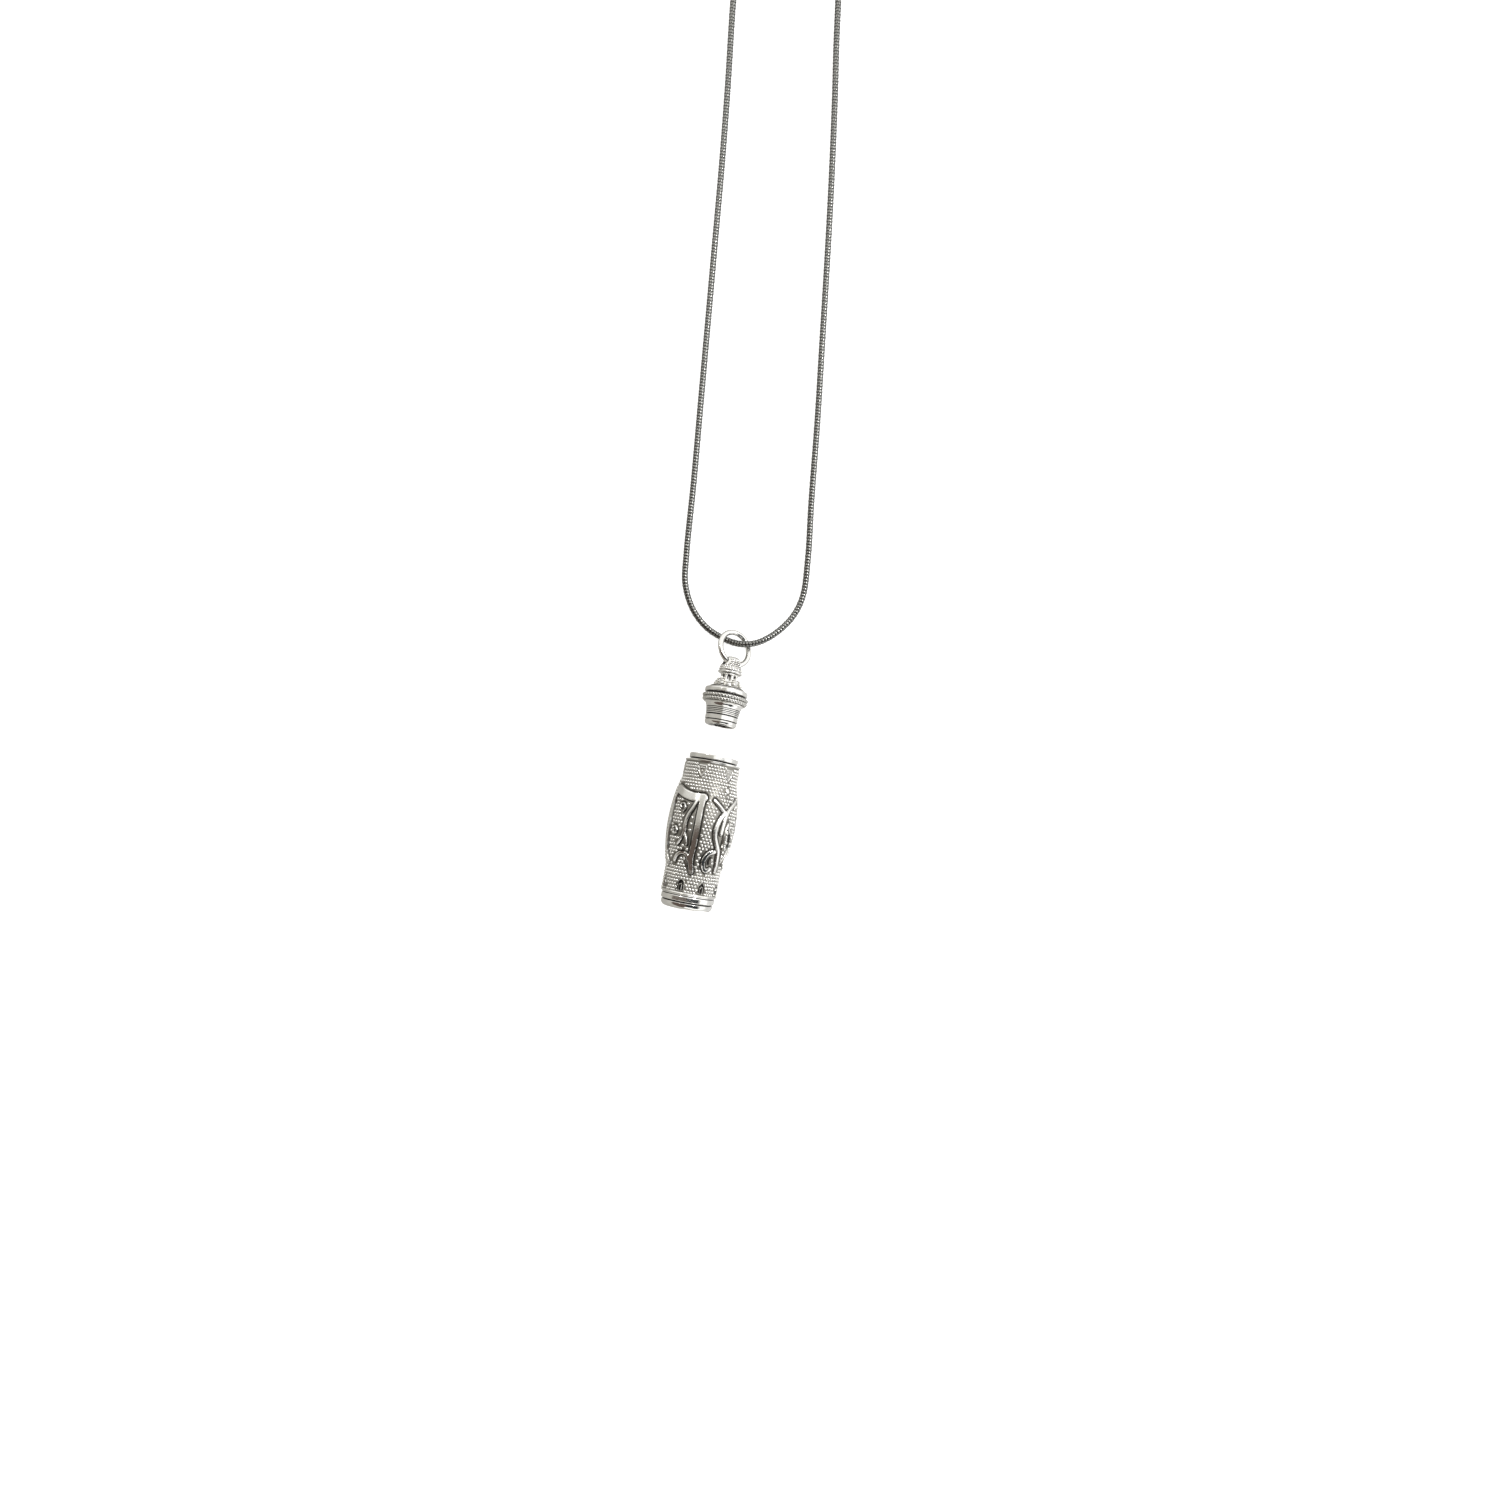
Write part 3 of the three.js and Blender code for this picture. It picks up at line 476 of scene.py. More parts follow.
# ---- ornament -------------------------------------------------------------------------------------
SHELL_LOW, SHELL_HIGH, SHELL_RADIUS = reach("barrel_shell")
BULGE_LOW = SHELL_LOW + 4.42
BULGE_HIGH = SHELL_HIGH - 3.2
BULGE_MID = (BULGE_LOW + BULGE_HIGH) / 2
BULGE_CURVE = 34  # radius of the bulge's side
BAND = 4.95  # radius of the bands above and below the bulge
WALL = 0.9  # thickness, from the top of the ornament to the bore
GROUND = 0.3  # how deep the ground lies under the raised ornament
SLOPE = 1.5  # how long the slope from a band to the bulge is
SETS = 2  # the bulge's motifs, repeated round the barrel
SHIELDS, FIRST_SHIELD = 6, math.radians(-17.4)  # round the upper band
NICHES, FIRST_NICHE = 8, math.radians(-18)  # round the lower band, round and pointed by turns


def ground_radius(s):
    """The ground of the ornament: a band, the bulge and a band, with soft slopes between."""
    s = np.asarray(s, float)
    bulge = SHELL_RADIUS - BULGE_CURVE + np.sqrt(BULGE_CURVE**2 - (s - BULGE_MID) ** 2) - GROUND
    low = np.clip((s - BULGE_LOW + 0.3) / SLOPE, 0, 1)
    high = np.clip((BULGE_HIGH + 0.3 - s) / SLOPE, 0, 1)
    on = (low * low * (3 - 2 * low)) * (high * high * (3 - 2 * high))
    band = BAND - 0.55 * GROUND
    return band + (bulge - band) * on


def distance(x, y, line):
    """From points x, y to a line of straight pieces."""
    near = np.full(np.broadcast(x, y).shape, np.inf)
    for (x0, y0), (x1, y1) in zip(line, line[1:]):
        dx, dy = x1 - x0, y1 - y0
        t = np.clip(((x - x0) * dx + (y - y0) * dy) / (dx * dx + dy * dy + 1e-12), 0, 1)
        near = np.minimum(near, np.hypot(x - x0 - t * dx, y - y0 - t * dy))
    return near


def curve(knots, step=0.45):
    """A smooth line in the unrolled plane through the knots."""
    return smooth_line([(x, y, 0) for x, y in knots], step)[:, :2]


def scroll(cx, cy, radius, start, sweep, tight=0.25):
    """A spiral that winds in from its radius, in degrees."""
    count = max(6, abs(sweep) // 20)
    turn = [(start + sweep * i / count, radius * (1 - (1 - tight) * i / count)) for i in range(count + 1)]
    return [(cx + r * math.cos(math.radians(a)), cy + r * math.sin(math.radians(a))) for a, r in turn]


# The bulge's motifs in the unrolled plane: mm round the barrel from the middle, and mm from the foot.
# Each raised line is (line, width); each drop is (x, height, radius).
PORTAL = [
    (curve([(-6.2, 20.7), (-6.75, 18.2), (-6.8, 14.5), (-6.8, 11), (-6.6, 8.8), (-6, 7.6)]), 0.85),
    (curve([(-6.2, 20.6), (-4.2, 19.9), (-2, 19.5), (-0.3, 19.6)]), 1.7),
    (curve([(-0.35, 19.6), (-0.45, 17), (-0.42, 14), (-0.5, 11), (-0.62, 8.7), (-0.15, 6.7)]), 1.2),
    (curve([(-1.2, 19.3), (-1.8, 17.6), (-2.4, 16.3), (-2.65, 15), (-2.6, 13.4)]), 0.75),
    (curve([(-2.6, 13.4), (-3, 12.2), (-3.7, 11)]), 0.6),
    (curve([(-2.6, 13.2), (-2.1, 12.2), (-1.9, 11.2)]), 0.6),
    (curve([(-4.1, 8.1), (-3.5, 9.2), (-2.45, 9.7), (-1.4, 9.4), (-1.1, 8.6)]), 0.75),
    (curve(scroll(-4.1, 17.6, 0.95, -60, 300)), 0.45),
    (curve(scroll(-4.9, 13.2, 0.85, 80, -300)), 0.45),
]
STEM = [
    (4.3, 17.8), (3.3, 16.3), (2.9, 14.8), (2.95, 13.5), (3.5, 12.3), (4.3, 11), (4.7, 9.3), (5.2, 7.4),
]
LEAVES = [
    (curve([(1.85, 19.5), (2.95, 18.7), (4.2, 17.7)]), 0.8),
    (curve(STEM), 0.9),
    (curve([(7.1, 20), (6.1, 19.2), (5.2, 18.3), (4.5, 17), (4.25, 15.6), (4.1, 14)]), 0.8),
    (curve([(5.35, 16), (4.95, 14.2), (4.95, 12.4), (5.1, 10.8), (5.75, 9)]), 0.4),
    (curve([(5.35, 16), (6.4, 14.2), (6.75, 12.2), (6.5, 10.4), (5.75, 9)]), 0.4),
    (curve([(3.5, 10.7), (2.5, 10.3), (1.85, 9), (2, 7.9), (2.8, 7.2), (3.6, 7.6)]), 0.95),
]
TRAIL = [
    (curve([(8.8, 20.9), (8.95, 17.5), (8.9, 13.5), (8.4, 10.2), (7.6, 8.4)]), 0.5),
    (curve([(7.8, 11.8), (7.5, 10.2), (6.9, 8.8)]), 0.5),
]
DROPS = [(4.2, 21.5, 0.55), (4.5, 20.5, 0.35), (7.9, 19, 0.65), (7.9, 16.3, 0.7), (7.8, 13.6, 0.62)]
PITS = [(7.9, 19, 0.36), (7.9, 16.3, 0.42), (7.8, 13.6, 0.34)]
LEAF_BEADS = [(5.5, 14.5), (5.65, 13.6), (5.75, 12.7), (5.8, 11.8), (5.8, 10.9), (5.75, 10.1)]
CURL_HOLLOW = curve([(3.1, 9.6), (2.85, 8.9), (2.95, 8.4)])
OUTLINE = 0.2  # of the painted shadow line along each raised line
EDGE = 0.17  # how wide the side of a raised line is
SHIELD_HEIGHT = SHELL_HIGH - 1.85
SHIELD_DOTS = [(-0.22, 0.35), (0.22, 0.35), (0, -0.2)]
NICHE_HEIGHT = SHELL_LOW + 1.45
DOOR = [(-0.27, -0.8), (-0.27, 0.05), (0, 0.36), (0.27, 0.05), (0.27, -0.8)]


def shield_line(half=0.66, top=0.82):
    return [(-half, top), (half, top), (half, -0.25), (0, -1.1), (-half, -0.25), (-half, top)]


def niche_line(pointed, half=0.62, foot=-0.95):
    if pointed:
        return [(-half, foot), (-half, 0.35), (0, 1.05), (half, 0.35), (half, foot), (-half, foot)]
    round_top = [(half * math.cos(a), 0.4 + half * math.sin(a)) for a in np.linspace(math.pi, 0, 9)]
    return [(-half, foot), *round_top, (half, foot), (-half, foot)]


def inside(x, y, line):
    """Whether points lie in a closed line."""
    within = np.zeros(np.broadcast(x, y).shape, bool)
    for (x0, y0), (x1, y1) in zip(line, line[1:]):
        if y0 != y1:
            within ^= ((y0 > y) != (y1 > y)) & (x < (x1 - x0) * (y - y0) / (y1 - y0) + x0)
    return within


def step_up(depth):
    """From 0 outside a shape's edge to 1 an edge's width inside it."""
    t = np.clip(depth / EDGE, 0, 1)
    return t * t * (3 - 2 * t)


def wrapped(angle, middle, count):
    """Angles measured from the nearest of count places round the barrel."""
    pitch = 2 * math.pi / count
    return (angle - middle + pitch / 2) % pitch - pitch / 2


def motifs(angle, s):
    """How raised the bulge's motifs are at a place, and how much painted shade darkens it, both from 0 to 1."""
    x = wrapped(angle, 0, SETS) * (SHELL_RADIUS - GROUND)
    raised = np.zeros(x.shape)
    beside = np.zeros(x.shape)
    for line, width in PORTAL + LEAVES + TRAIL:
        depth = width / 2 - distance(x, s, line)
        raised = np.maximum(raised, step_up(depth))
        beside = np.maximum(beside, step_up(depth + OUTLINE))
    for cx, cy, radius in DROPS:
        raised = np.maximum(raised, step_up(radius - np.hypot(x - cx, s - cy)))
    # Painted shade: in the curl's hollow and along each raised line's outline.
    curl = step_up(0.3 - distance(x, s, CURL_HOLLOW))
    dark = np.maximum(0.9 * curl, 0.7 * beside) * (1 - raised)
    # Painted shade: in the pits of the drops.
    for cx, cy, radius in PITS:
        dark = np.maximum(dark, step_up(radius - np.hypot(x - cx, s - cy)))
    return raised, dark


def shields(angle, s):
    """How raised the upper band is: a rimmed shield with three dots, repeated."""
    x = wrapped(angle, FIRST_SHIELD, SHIELDS) * BAND
    y = s - SHIELD_HEIGHT
    rim = step_up(0.17 - distance(x, y, shield_line()))
    dots = np.max([step_up(0.2 - np.hypot(x - a, y - b)) for a, b in SHIELD_DOTS], axis=0)
    field = inside(x, y, shield_line())
    return np.maximum(rim, 0.35 * field + 0.5 * dots * field)


def niche(angle, s, first, line):
    """How raised the lower band is round a niche and at the door in it, and how much painted shade darkens the
    niche.
    """
    x = wrapped(angle, first, NICHES // 2) * BAND
    y = s - NICHE_HEIGHT
    # Painted shade: the niche's inside is darkened, more away from its edge.
    hollow = inside(x, y, line) * step_up(distance(x, y, line))
    door = step_up(0.18 - distance(x, y, DOOR)) * (hollow > 0)
    return np.maximum(door, step_up(0.13 - distance(x, y, line))), hollow * (1 - door)


def ornament(angle, s):
    """How far the surface is raised or sunk, how raised it is from 0 to 1, and how much painted shade darkens it.
    """
    raised, dark = motifs(angle, s)
    height = raised * GROUND * 0.95
    border = np.maximum(step_up(s - SHELL_HIGH + 0.4), step_up(SHELL_LOW + 0.35 - s))
    plaque = np.maximum(shields(angle, s), border)
    for k, line in enumerate((niche_line(False), niche_line(True))):
        frame_and_door, hollow = niche(angle, s, FIRST_NICHE + k * 2 * math.pi / NICHES, line)
        plaque = np.maximum(plaque, frame_and_door)
        dark = np.maximum(dark, hollow)
    height = np.maximum(height, plaque * 0.6 * GROUND) - 0.22 * dark
    return height, np.maximum(raised, plaque), dark


def barrel_shell():
    """The outside with its ornament, and a plain wall inside it that runs straight beside the spigots."""
    columns, rows = 480, 200
    s = np.linspace(SHELL_LOW, SHELL_HIGH, rows)[:, None] * np.ones(columns)
    angle = np.arange(columns) * 2 * math.pi / columns * np.ones_like(s)
    height, raised, dark = ornament(angle, s)
    r = ground_radius(s) + height
    narrow, shoulder = BAND - WALL, 4.5
    bore = [
        (narrow, SHELL_HIGH), (narrow, BULGE_HIGH + 0.7), (shoulder, BULGE_HIGH - 1),
        (SHELL_RADIUS - WALL, BULGE_MID), (shoulder, BULGE_LOW + 1), (narrow, BULGE_LOW - 0.7),
        (narrow, SHELL_LOW),
    ]
    ones = np.ones((len(bore), columns))
    r = np.vstack([r, np.array([p[0] for p in bore])[:, None] * ones])
    s = np.vstack([s, np.array([p[1] for p in bore])[:, None] * ones])
    angle = np.vstack([angle, angle[: len(bore)]])
    points = np.stack([r * np.sin(angle), s, r * np.cos(angle)], -1).reshape(-1, 3)
    rest = np.zeros(len(bore) * columns)
    # Painted shade: the niche mark carries the ornament's darkness, the bore inside is darkened by 0.6, and the
    # raised mark sets the dark ground.
    marks = {"raised": np.append(raised, rest), "niche": np.append(dark, rest + 0.6)}
    faces = grid_faces(len(r), columns, True)
    nodes = ["barrel_shell"]
    piece = solid("barrel_ornament", points, faces, "barrel", nodes, CAST, PENDANT, 60, marks)


BEAD_SIDES = 8
BEAD_OUTLINE = [(1.0, -0.35, 0.0), (0.93, 0.3, 0.35), (0.6, 0.78, 0.8)]  # out, up, and how free of painted shade


def beads(name, places, normals, radius, height, body):
    """A small dome at each place, standing along its normal, with a skirt sunk in what it stands on."""
    sides = BEAD_SIDES
    helper = np.where(np.abs(normals[:, 1:2]) < 0.9, [[0, 1.0, 0]], [[1.0, 0, 0]])
    across = np.cross(normals, helper)
    across /= np.linalg.norm(across, axis=1)[:, None]
    other = np.cross(normals, across)
    bend = np.arange(sides) * 2 * math.pi / sides
    ring = across[:, None] * np.cos(bend)[None, :, None] + other[:, None] * np.sin(bend)[None, :, None]
    layers = []
    for share, rise, _ in BEAD_OUTLINE:
        layers.append(places[:, None] + ring * radius * share + normals[:, None] * height * rise)
    tops = places + normals * height
    points = np.concatenate([np.concatenate(layers, 1), tops[:, None]], 1)
    size = points.shape[1]
    faces = []
    for k in range(len(places)):
        base = k * size
        for level in range(len(BEAD_OUTLINE) - 1):
            a, b = base + level * sides, base + (level + 1) * sides
            faces += [(a + j, a + (j + 1) % sides, b + (j + 1) % sides, b + j) for j in range(sides)]
        last, top = base + (len(BEAD_OUTLINE) - 1) * sides, base + size - 1
        faces += [(last + j, last + (j + 1) % sides, top) for j in range(sides)]
        faces.append(tuple(base + j for j in reversed(range(sides))))
    # Painted shade: 0 at a bead's foot, where it meets the ground, up to 1 at its top.
    unshaded = [p[2] for p in BEAD_OUTLINE for _ in range(sides)] + [1.0]
    marks = {"raised": np.tile(unshaded, len(places))}
    piece = solid(name, points.reshape(-1, 3), faces, body, [], GRAINS, PENDANT, 80, marks)


def turned_place(angle, s, r, slope=0.0):
    """A point on a turned surface and the direction straight out of it."""
    point = np.stack([r * np.sin(angle), s, r * np.cos(angle)], -1)
    out = np.stack([np.sin(angle), np.full_like(angle, -slope), np.cos(angle)], -1)
    return point, out / np.linalg.norm(out, axis=-1)[..., None]


BEADS_PER_ROW = 57
FIRST_ROW, LAST_ROW, ROW_STEP = SHELL_LOW + 0.5, SHELL_HIGH - 0.4, 0.5568
CLEAR_ROUND, CLEAR_ALONG = 0.035, 0.17  # what a bead keeps free beside it: an angle, and mm


def barrel_granulation():
    """Rows of beads over the ground, left out wherever something is raised or sunk."""
    places, normals = [], []
    rows = 1 + int((LAST_ROW - FIRST_ROW) / ROW_STEP)
    beside = [(0, 0), (CLEAR_ROUND, 0), (-CLEAR_ROUND, 0), (0, CLEAR_ALONG), (0, -CLEAR_ALONG)]
    for i in range(rows):
        s = FIRST_ROW + ROW_STEP * i
        angle = (np.arange(BEADS_PER_ROW) + 0.5 * (i % 2)) * 2 * math.pi / BEADS_PER_ROW
        clear = np.ones(BEADS_PER_ROW, bool)
        for turn, along in beside:
            height, _, dark = ornament(angle + turn, np.full(BEADS_PER_ROW, s + along))
            clear &= (np.abs(height) < 0.06) & (dark < 0.05)
        below, r, above = ground_radius(np.array([s - 0.1, s, s + 0.1]))
        point, out = turned_place(angle, np.full(BEADS_PER_ROW, s), r, (above - below) / 0.2)
        places.append(point[clear])
        normals.append(out[clear])
    beads("barrel_beads", np.vstack(places), np.vstack(normals), 0.29, 0.23, "barrel")


def leaf_granulation():
    """One row of larger beads down the middle of each leaf."""
    sets = [2 * math.pi * k / SETS for k in range(SETS)]
    centres = [(turn + x / (SHELL_RADIUS - GROUND), s) for turn in sets for x, s in LEAF_BEADS]
    angle, s = np.array(centres).T
    point, out = turned_place(angle, s, ground_radius(s))
    beads("leaf_beads", point, out, 0.3, 0.24, "barrel")


barrel_shell()
barrel_granulation()
leaf_granulation()


# ---- collars and foot -----------------------------------------------------------------------------
SPIGOT, BORE = 3.97, 3.25  # outer and inner radius of what is soldered into the shell
SEAM = 0.08  # between the shell and a collar's shoulder


def mouth_collar():
    """A groove with painted shade next to the shell, then a rounded rim that is countersunk to the bore."""
    low, high, radius = reach("mouth_collar")
    start, groove = SHELL_HIGH + SEAM, radius - 0.3
    outline = [
        (BORE, low), (SPIGOT, low), (SPIGOT, start), (groove, start, 1), (groove, start + 0.16, 1),
        *arc(radius - 0.12, start + 0.34, 0.12, -90, 0, 4),
        *arc(radius - 0.16, high - 0.16, 0.16, 0, 90, 5),
        (radius - 0.42, high), (radius - 0.5, high - 0.05), (BORE + 0.12, high - 0.55),
        (BORE, high - 0.7),
    ]
    lathe("mouth_ring", outline, 128, "barrel", ["mouth_collar"], BRIGHT)


def base_collar():
    """The foot: a rounded bead at the bottom, a groove with painted shade, and a band with a fine groove in it
    that also has painted shade.
    """
    low, high, radius = reach("base_collar")
    band_low, band_top = 1.2, SHELL_LOW - SEAM
    recess, ledge = 3.7, 1.05
    outline = [
        (recess, low), *arc(3.75, 0.85, 0.85, -90, 0, 8), (4.6, 0.95), *arc(4.5, 1.0, 0.12, 0, 70, 3),
        (4.42, band_low, 1), (4.44, band_low + 0.09, 1), (radius - 0.08, band_low + 0.17),
        (radius, band_low + 0.27), (radius, band_top - 0.42), (radius - 0.04, band_top - 0.3),
        (radius - 0.16, band_top - 0.26, 1), (radius - 0.16, band_top - 0.2, 1),
        (radius - 0.02, band_top - 0.14), (radius - 0.04, band_top), (SPIGOT, band_top),
        (SPIGOT, high), (BORE, high), (BORE, ledge), (recess, ledge),
    ]
    lathe("base_ring", outline, 128, "barrel", ["base_collar"], BRIGHT)


def base_disc():
    """The flat floor plate, with a turned ring near the middle of its underside."""
    low, high, radius = reach("base_disc")
    outline = [
        (0, low + 0.1), (0.5, low + 0.1), (0.56, low + 0.04), (1.9, low + 0.04), (1.96, low + 0.1),
        (2.1, low + 0.1), (2.16, low + 0.02), (radius - 0.35, low),
        *arc(radius - 0.1, low + 0.1, 0.1, -90, 0, 3), (radius, high), (radius - 0.3, high),
        (radius - 0.36, high - 0.06), (0, high - 0.06),
    ]
    lathe("base_plate", outline, 96, "barrel", ["base_disc"], BRIGHT)


mouth_collar()
base_collar()
base_disc()


# ---- cap ------------------------------------------------------------------------------------------
CAP_START = reach("rope_ring")[0]
SHOULDER_TOP = reach("cap_shoulder")[1]
CORE = 2.68  # radius of the hole that the plug's core goes up through


def plug_sleeve():
    """The open plug: a hollow, a rolled lip, two grooves with a band between, fine ridges and a cone. Painted
    shade darkens the hollow's wall, the grooves and the gaps below the ridges, and a thin dark sheet inside the
    hollow paints its shade.
    """
    low, high, cone = reach("plug_sleeve")
    lip, hollow, core = 2.9, 2.0, 2.6
    band, ridge = lip + 0.06, lip + 0.1
    bottom, ridge_start = low + 3.0, low + 2.2
    ridges = []
    for i in range(4):
        at, r = ridge_start + 0.3 * i, ridge + 0.05 * i
        ridges += [(r - 0.12, at, 1), (r - 0.12, at + 0.06, 1), (r, at + 0.1), (r, at + 0.26)]
    outline = [
        (0, bottom + 0.3), (hollow - 0.3, bottom + 0.3), (hollow, bottom), (hollow, low + 0.35, 1),
        (hollow + 0.12, low + 0.08, 0.6), *arc(lip - 0.55, low + 0.55, 0.55, -90, 0, 8),
        (lip, low + 0.8), (lip - 0.12, low + 0.84, 1), (lip - 0.12, low + 0.94, 1), (band, low + 1.0),
        (band, low + 1.75), (band - 0.14, low + 1.8, 1), (band - 0.14, low + 1.92, 1),
        (ridge, low + 2.0), (ridge, ridge_start - 0.02), *ridges, (ridge + 0.2, CAP_START - 0.78),
        *arc(cone + 0.03, CAP_START - 0.62, 0.5, 180, 95, 7), (core, CAP_START - 0.08),
        (core, high), (0, high),
    ]
    lathe("plug_turned", outline, 128, "cap", ["plug_sleeve"], BRIGHT)
    # Painted shade: a thin sheet of dark metal just inside the hollow, where there is only shade.
    shade_sheet = [
        (0, bottom + 0.28), (1.6, bottom + 0.28), (hollow - 0.02, bottom), (hollow - 0.02, low + 0.42),
        (hollow - 0.08, low + 0.42), (hollow - 0.08, bottom - 0.04), (1.58, bottom + 0.2),
        (0, bottom + 0.2),
    ]
    lathe("plug_bore_shade_sheet", shade_sheet, 96, "cap", [], BORE_SHADE_METAL)


def rope_ring():
    """Two twisted-wire rims side by side, the lower one thicker, with painted shade in the valleys between
    strands.
    """
    _, high, radius = reach("rope_ring")
    strands, slant, depth = 44, 7.5, 0.11
    lower, upper = 0.36, 0.3
    face = 3.0

    def twist(angle, s, r):
        rim = np.clip(r - face, 0, 1)
        valley = 1.0 - np.abs(np.sin((strands * angle + slant * (s - CAP_START)) / 2))
        # Painted shade: the valleys between the twisted strands are darkened.
        return -depth * rim * valley, rim * valley**2

    outline = [
        (CORE, CAP_START), (face + 0.3, CAP_START),
        *arc(radius - 0.1 - lower, CAP_START + lower, lower, -90, 60, 10),
        (radius - 0.42, high - 0.58, 1), *arc(radius - upper, high - upper, upper, -60, 90, 10),
        (face, high), (CORE, high),
    ]
    outline = refine(outline, 0.08)
    piece = lathe("rope_rim", outline, 6 * strands, "cap", ["rope_ring"], SILVER, twist, sharp=60)


def cap_shoulder():
    """A groove with painted shade above the rope, a polished rim with a fine groove that also has painted shade,
    and a domed top.
    """
    _, high, radius = reach("cap_shoulder")
    start = CAP_START + 1.38
    outline = [
        (0, start + 0.6), (CORE, start + 0.6), (CORE, start), (radius - 0.2, start, 1),
        (radius - 0.2, start + 0.22, 1), *arc(radius - 0.14, start + 0.42, 0.14, -90, 0, 4),
        *arc(radius - 0.3, start + 0.85, 0.3, 0, 70, 6), (radius - 0.55, start + 1.22),
        (radius - 0.62, start + 1.14, 1), (radius - 0.75, start + 1.14, 1), (radius - 0.85, start + 1.34),
        *arc(1.95, high - 2.6, 2.55, 62, 90, 6), (1.28, high), (1.28, high - 0.3), (0, high - 0.3),
    ]
    lathe("shoulder_disc", outline, 128, "cap", ["cap_shoulder"], BRIGHT)


WINDOWS, WINDOW_HALF = 8, 0.3  # how many, and half the width of each
NECK = 1.5  # its radius where the windows are
PEG = 0.8  # radius of the neck's top, which the dome sits on


def lantern():
    """A fluted neck with an arched window between each two flutes, painted dark with shade that is deepest under
    each arch.
    """
    low, high, radius = reach("lantern")
    foot, top = SHOULDER_TOP + 0.08, high - 0.7
    sill, spring = foot + 0.75, top - 0.55
    cornice, core = 1.66, 1.2

    def flutes(angle, s, r):
        across = wrapped(angle, 0, WINDOWS) * NECK
        arch = spring + np.sqrt(np.clip(WINDOW_HALF**2 - across**2, 0, 1))
        outside = r > 1.0
        window = (np.abs(across) < WINDOW_HALF) & (s < arch) & (s > sill) & outside
        rib = 0.1 * np.cos(WINDOWS * angle + math.pi) * outside * (s > foot + 0.3) * (s < top - 0.2)
        # Painted shade: each window is darkened, most under its arch.
        return rib - 0.3 * window, window * np.clip(1.2 - (arch - s), 0, 1)

    outline = [
        (0, low), (core, low), (core, foot), (radius, foot), (radius, foot + 0.16),
        *arc(radius - 0.1, foot + 0.3, 0.1, 0, 90, 4), (NECK + 0.1, foot + 0.5), (NECK + 0.02, sill),
        (NECK + 0.02, top - 0.35), (cornice, top - 0.2), (cornice, top - 0.06), (cornice - 0.11, top),
        (PEG, top), (PEG, high), (0, high),
    ]
    outline = refine(outline, 0.07)
    piece = lathe("lantern_neck", outline, 192, "cap", ["lantern"], CAST_PLAIN, flutes, sharp=50)


EYE = Vector(joints["cap_swing"]["pos_m"])
EYE_AXIS = Vector(joints["cap_swing"]["axis"])
EYE_RADIUS = 0.8
CROWN_FOOT = 0.56  # from the dome's lower edge to where its crown begins


def drilled(piece, centre, axis, radius, depth=9):
    """Cuts a round hole through the piece."""
    bpy.ops.mesh.primitive_cylinder_add(vertices=48, radius=radius * MM, depth=depth * MM)
    drill = bpy.context.object
    drill.matrix_world = Matrix.Translation(centre) @ axis.to_track_quat("Z", "Y").to_matrix().to_4x4()
    cutting = piece.modifiers.new("hole", "BOOLEAN")
    cutting.object = drill
    cutting.operation = "DIFFERENCE"
    cutting.solver = "EXACT"
    applied(piece)
    bpy.data.objects.remove(drill)
    piece.data.set_sharp_from_angle(angle=math.radians(35))


def finial_dome():
    """A stepped cornice and a crown with the cross hole of the bail ring through it."""
    low, high, radius = reach("finial_dome")
    socket = PEG + 0.08
    outline = [
        (0, low + 0.75), (socket, low + 0.75), (socket, low), (radius - 0.15, low),
        *arc(radius - 0.12, low + 0.12, 0.12, -90, 0, 3), *arc(radius - 0.1, low + 0.24, 0.1, 0, 90, 3),
        (radius - 0.26, low + 0.34), (radius - 0.26, low + 0.46), (radius - 0.2, low + CROWN_FOOT),
        (radius - 0.32, high - 2.0), (radius - 0.52, high - 1.5), (radius - 0.7, high - 1.0),
        *arc(0.65, high - 0.82, 0.8, 0, 88, 8), (0, high),
    ]
    dome = lathe("dome_crown", refine(outline, 0.12), 128, "cap", ["finial_dome"], CAST_PLAIN)
    drilled(dome, EYE, EYE_AXIS, EYE_RADIUS)


def dome_granulation(rows=6, row_step=0.36, pitch=0.4):
    """Rows of beads round the crown, left out round the bail ring's hole."""
    low, high, radius = reach("finial_dome")
    places, normals = [], []
    for i in range(rows):
        s = low + CROWN_FOOT + 0.16 + row_step * i
        share = (s - low - CROWN_FOOT) / (high - low - CROWN_FOOT)
        r = radius - 0.22 - 0.42 * share - 0.5 * share**2
        count = max(8, round(2 * math.pi * r / pitch))
        angle = (np.arange(count) + 0.5 * (i % 2)) * 2 * math.pi / count
        point, out = turned_place(angle, np.full(count, s), r, -0.42 - share)
        from_eye = np.array([PENDANT @ Vector(p * MM) for p in point]) - np.array(EYE)
        off = from_eye - (from_eye @ np.array(EYE_AXIS))[:, None] * np.array(EYE_AXIS)
        clear = np.linalg.norm(off, axis=1) > (EYE_RADIUS + 0.22) * MM
        places.append(point[clear])
        normals.append(out[clear])
    beads("dome_beads", np.vstack(places), np.vstack(normals), 0.19, 0.15, "cap")


BRACKETS = 6
BRACKET_BEADS = (0.42, 0.36, 0.28)  # radius of each bead in a stack, from its foot up
BRACKET_PLACE = 2.26  # from the pendant's axis
BRACKET_LEAN = 0.42  # towards the neck, for each mm of height


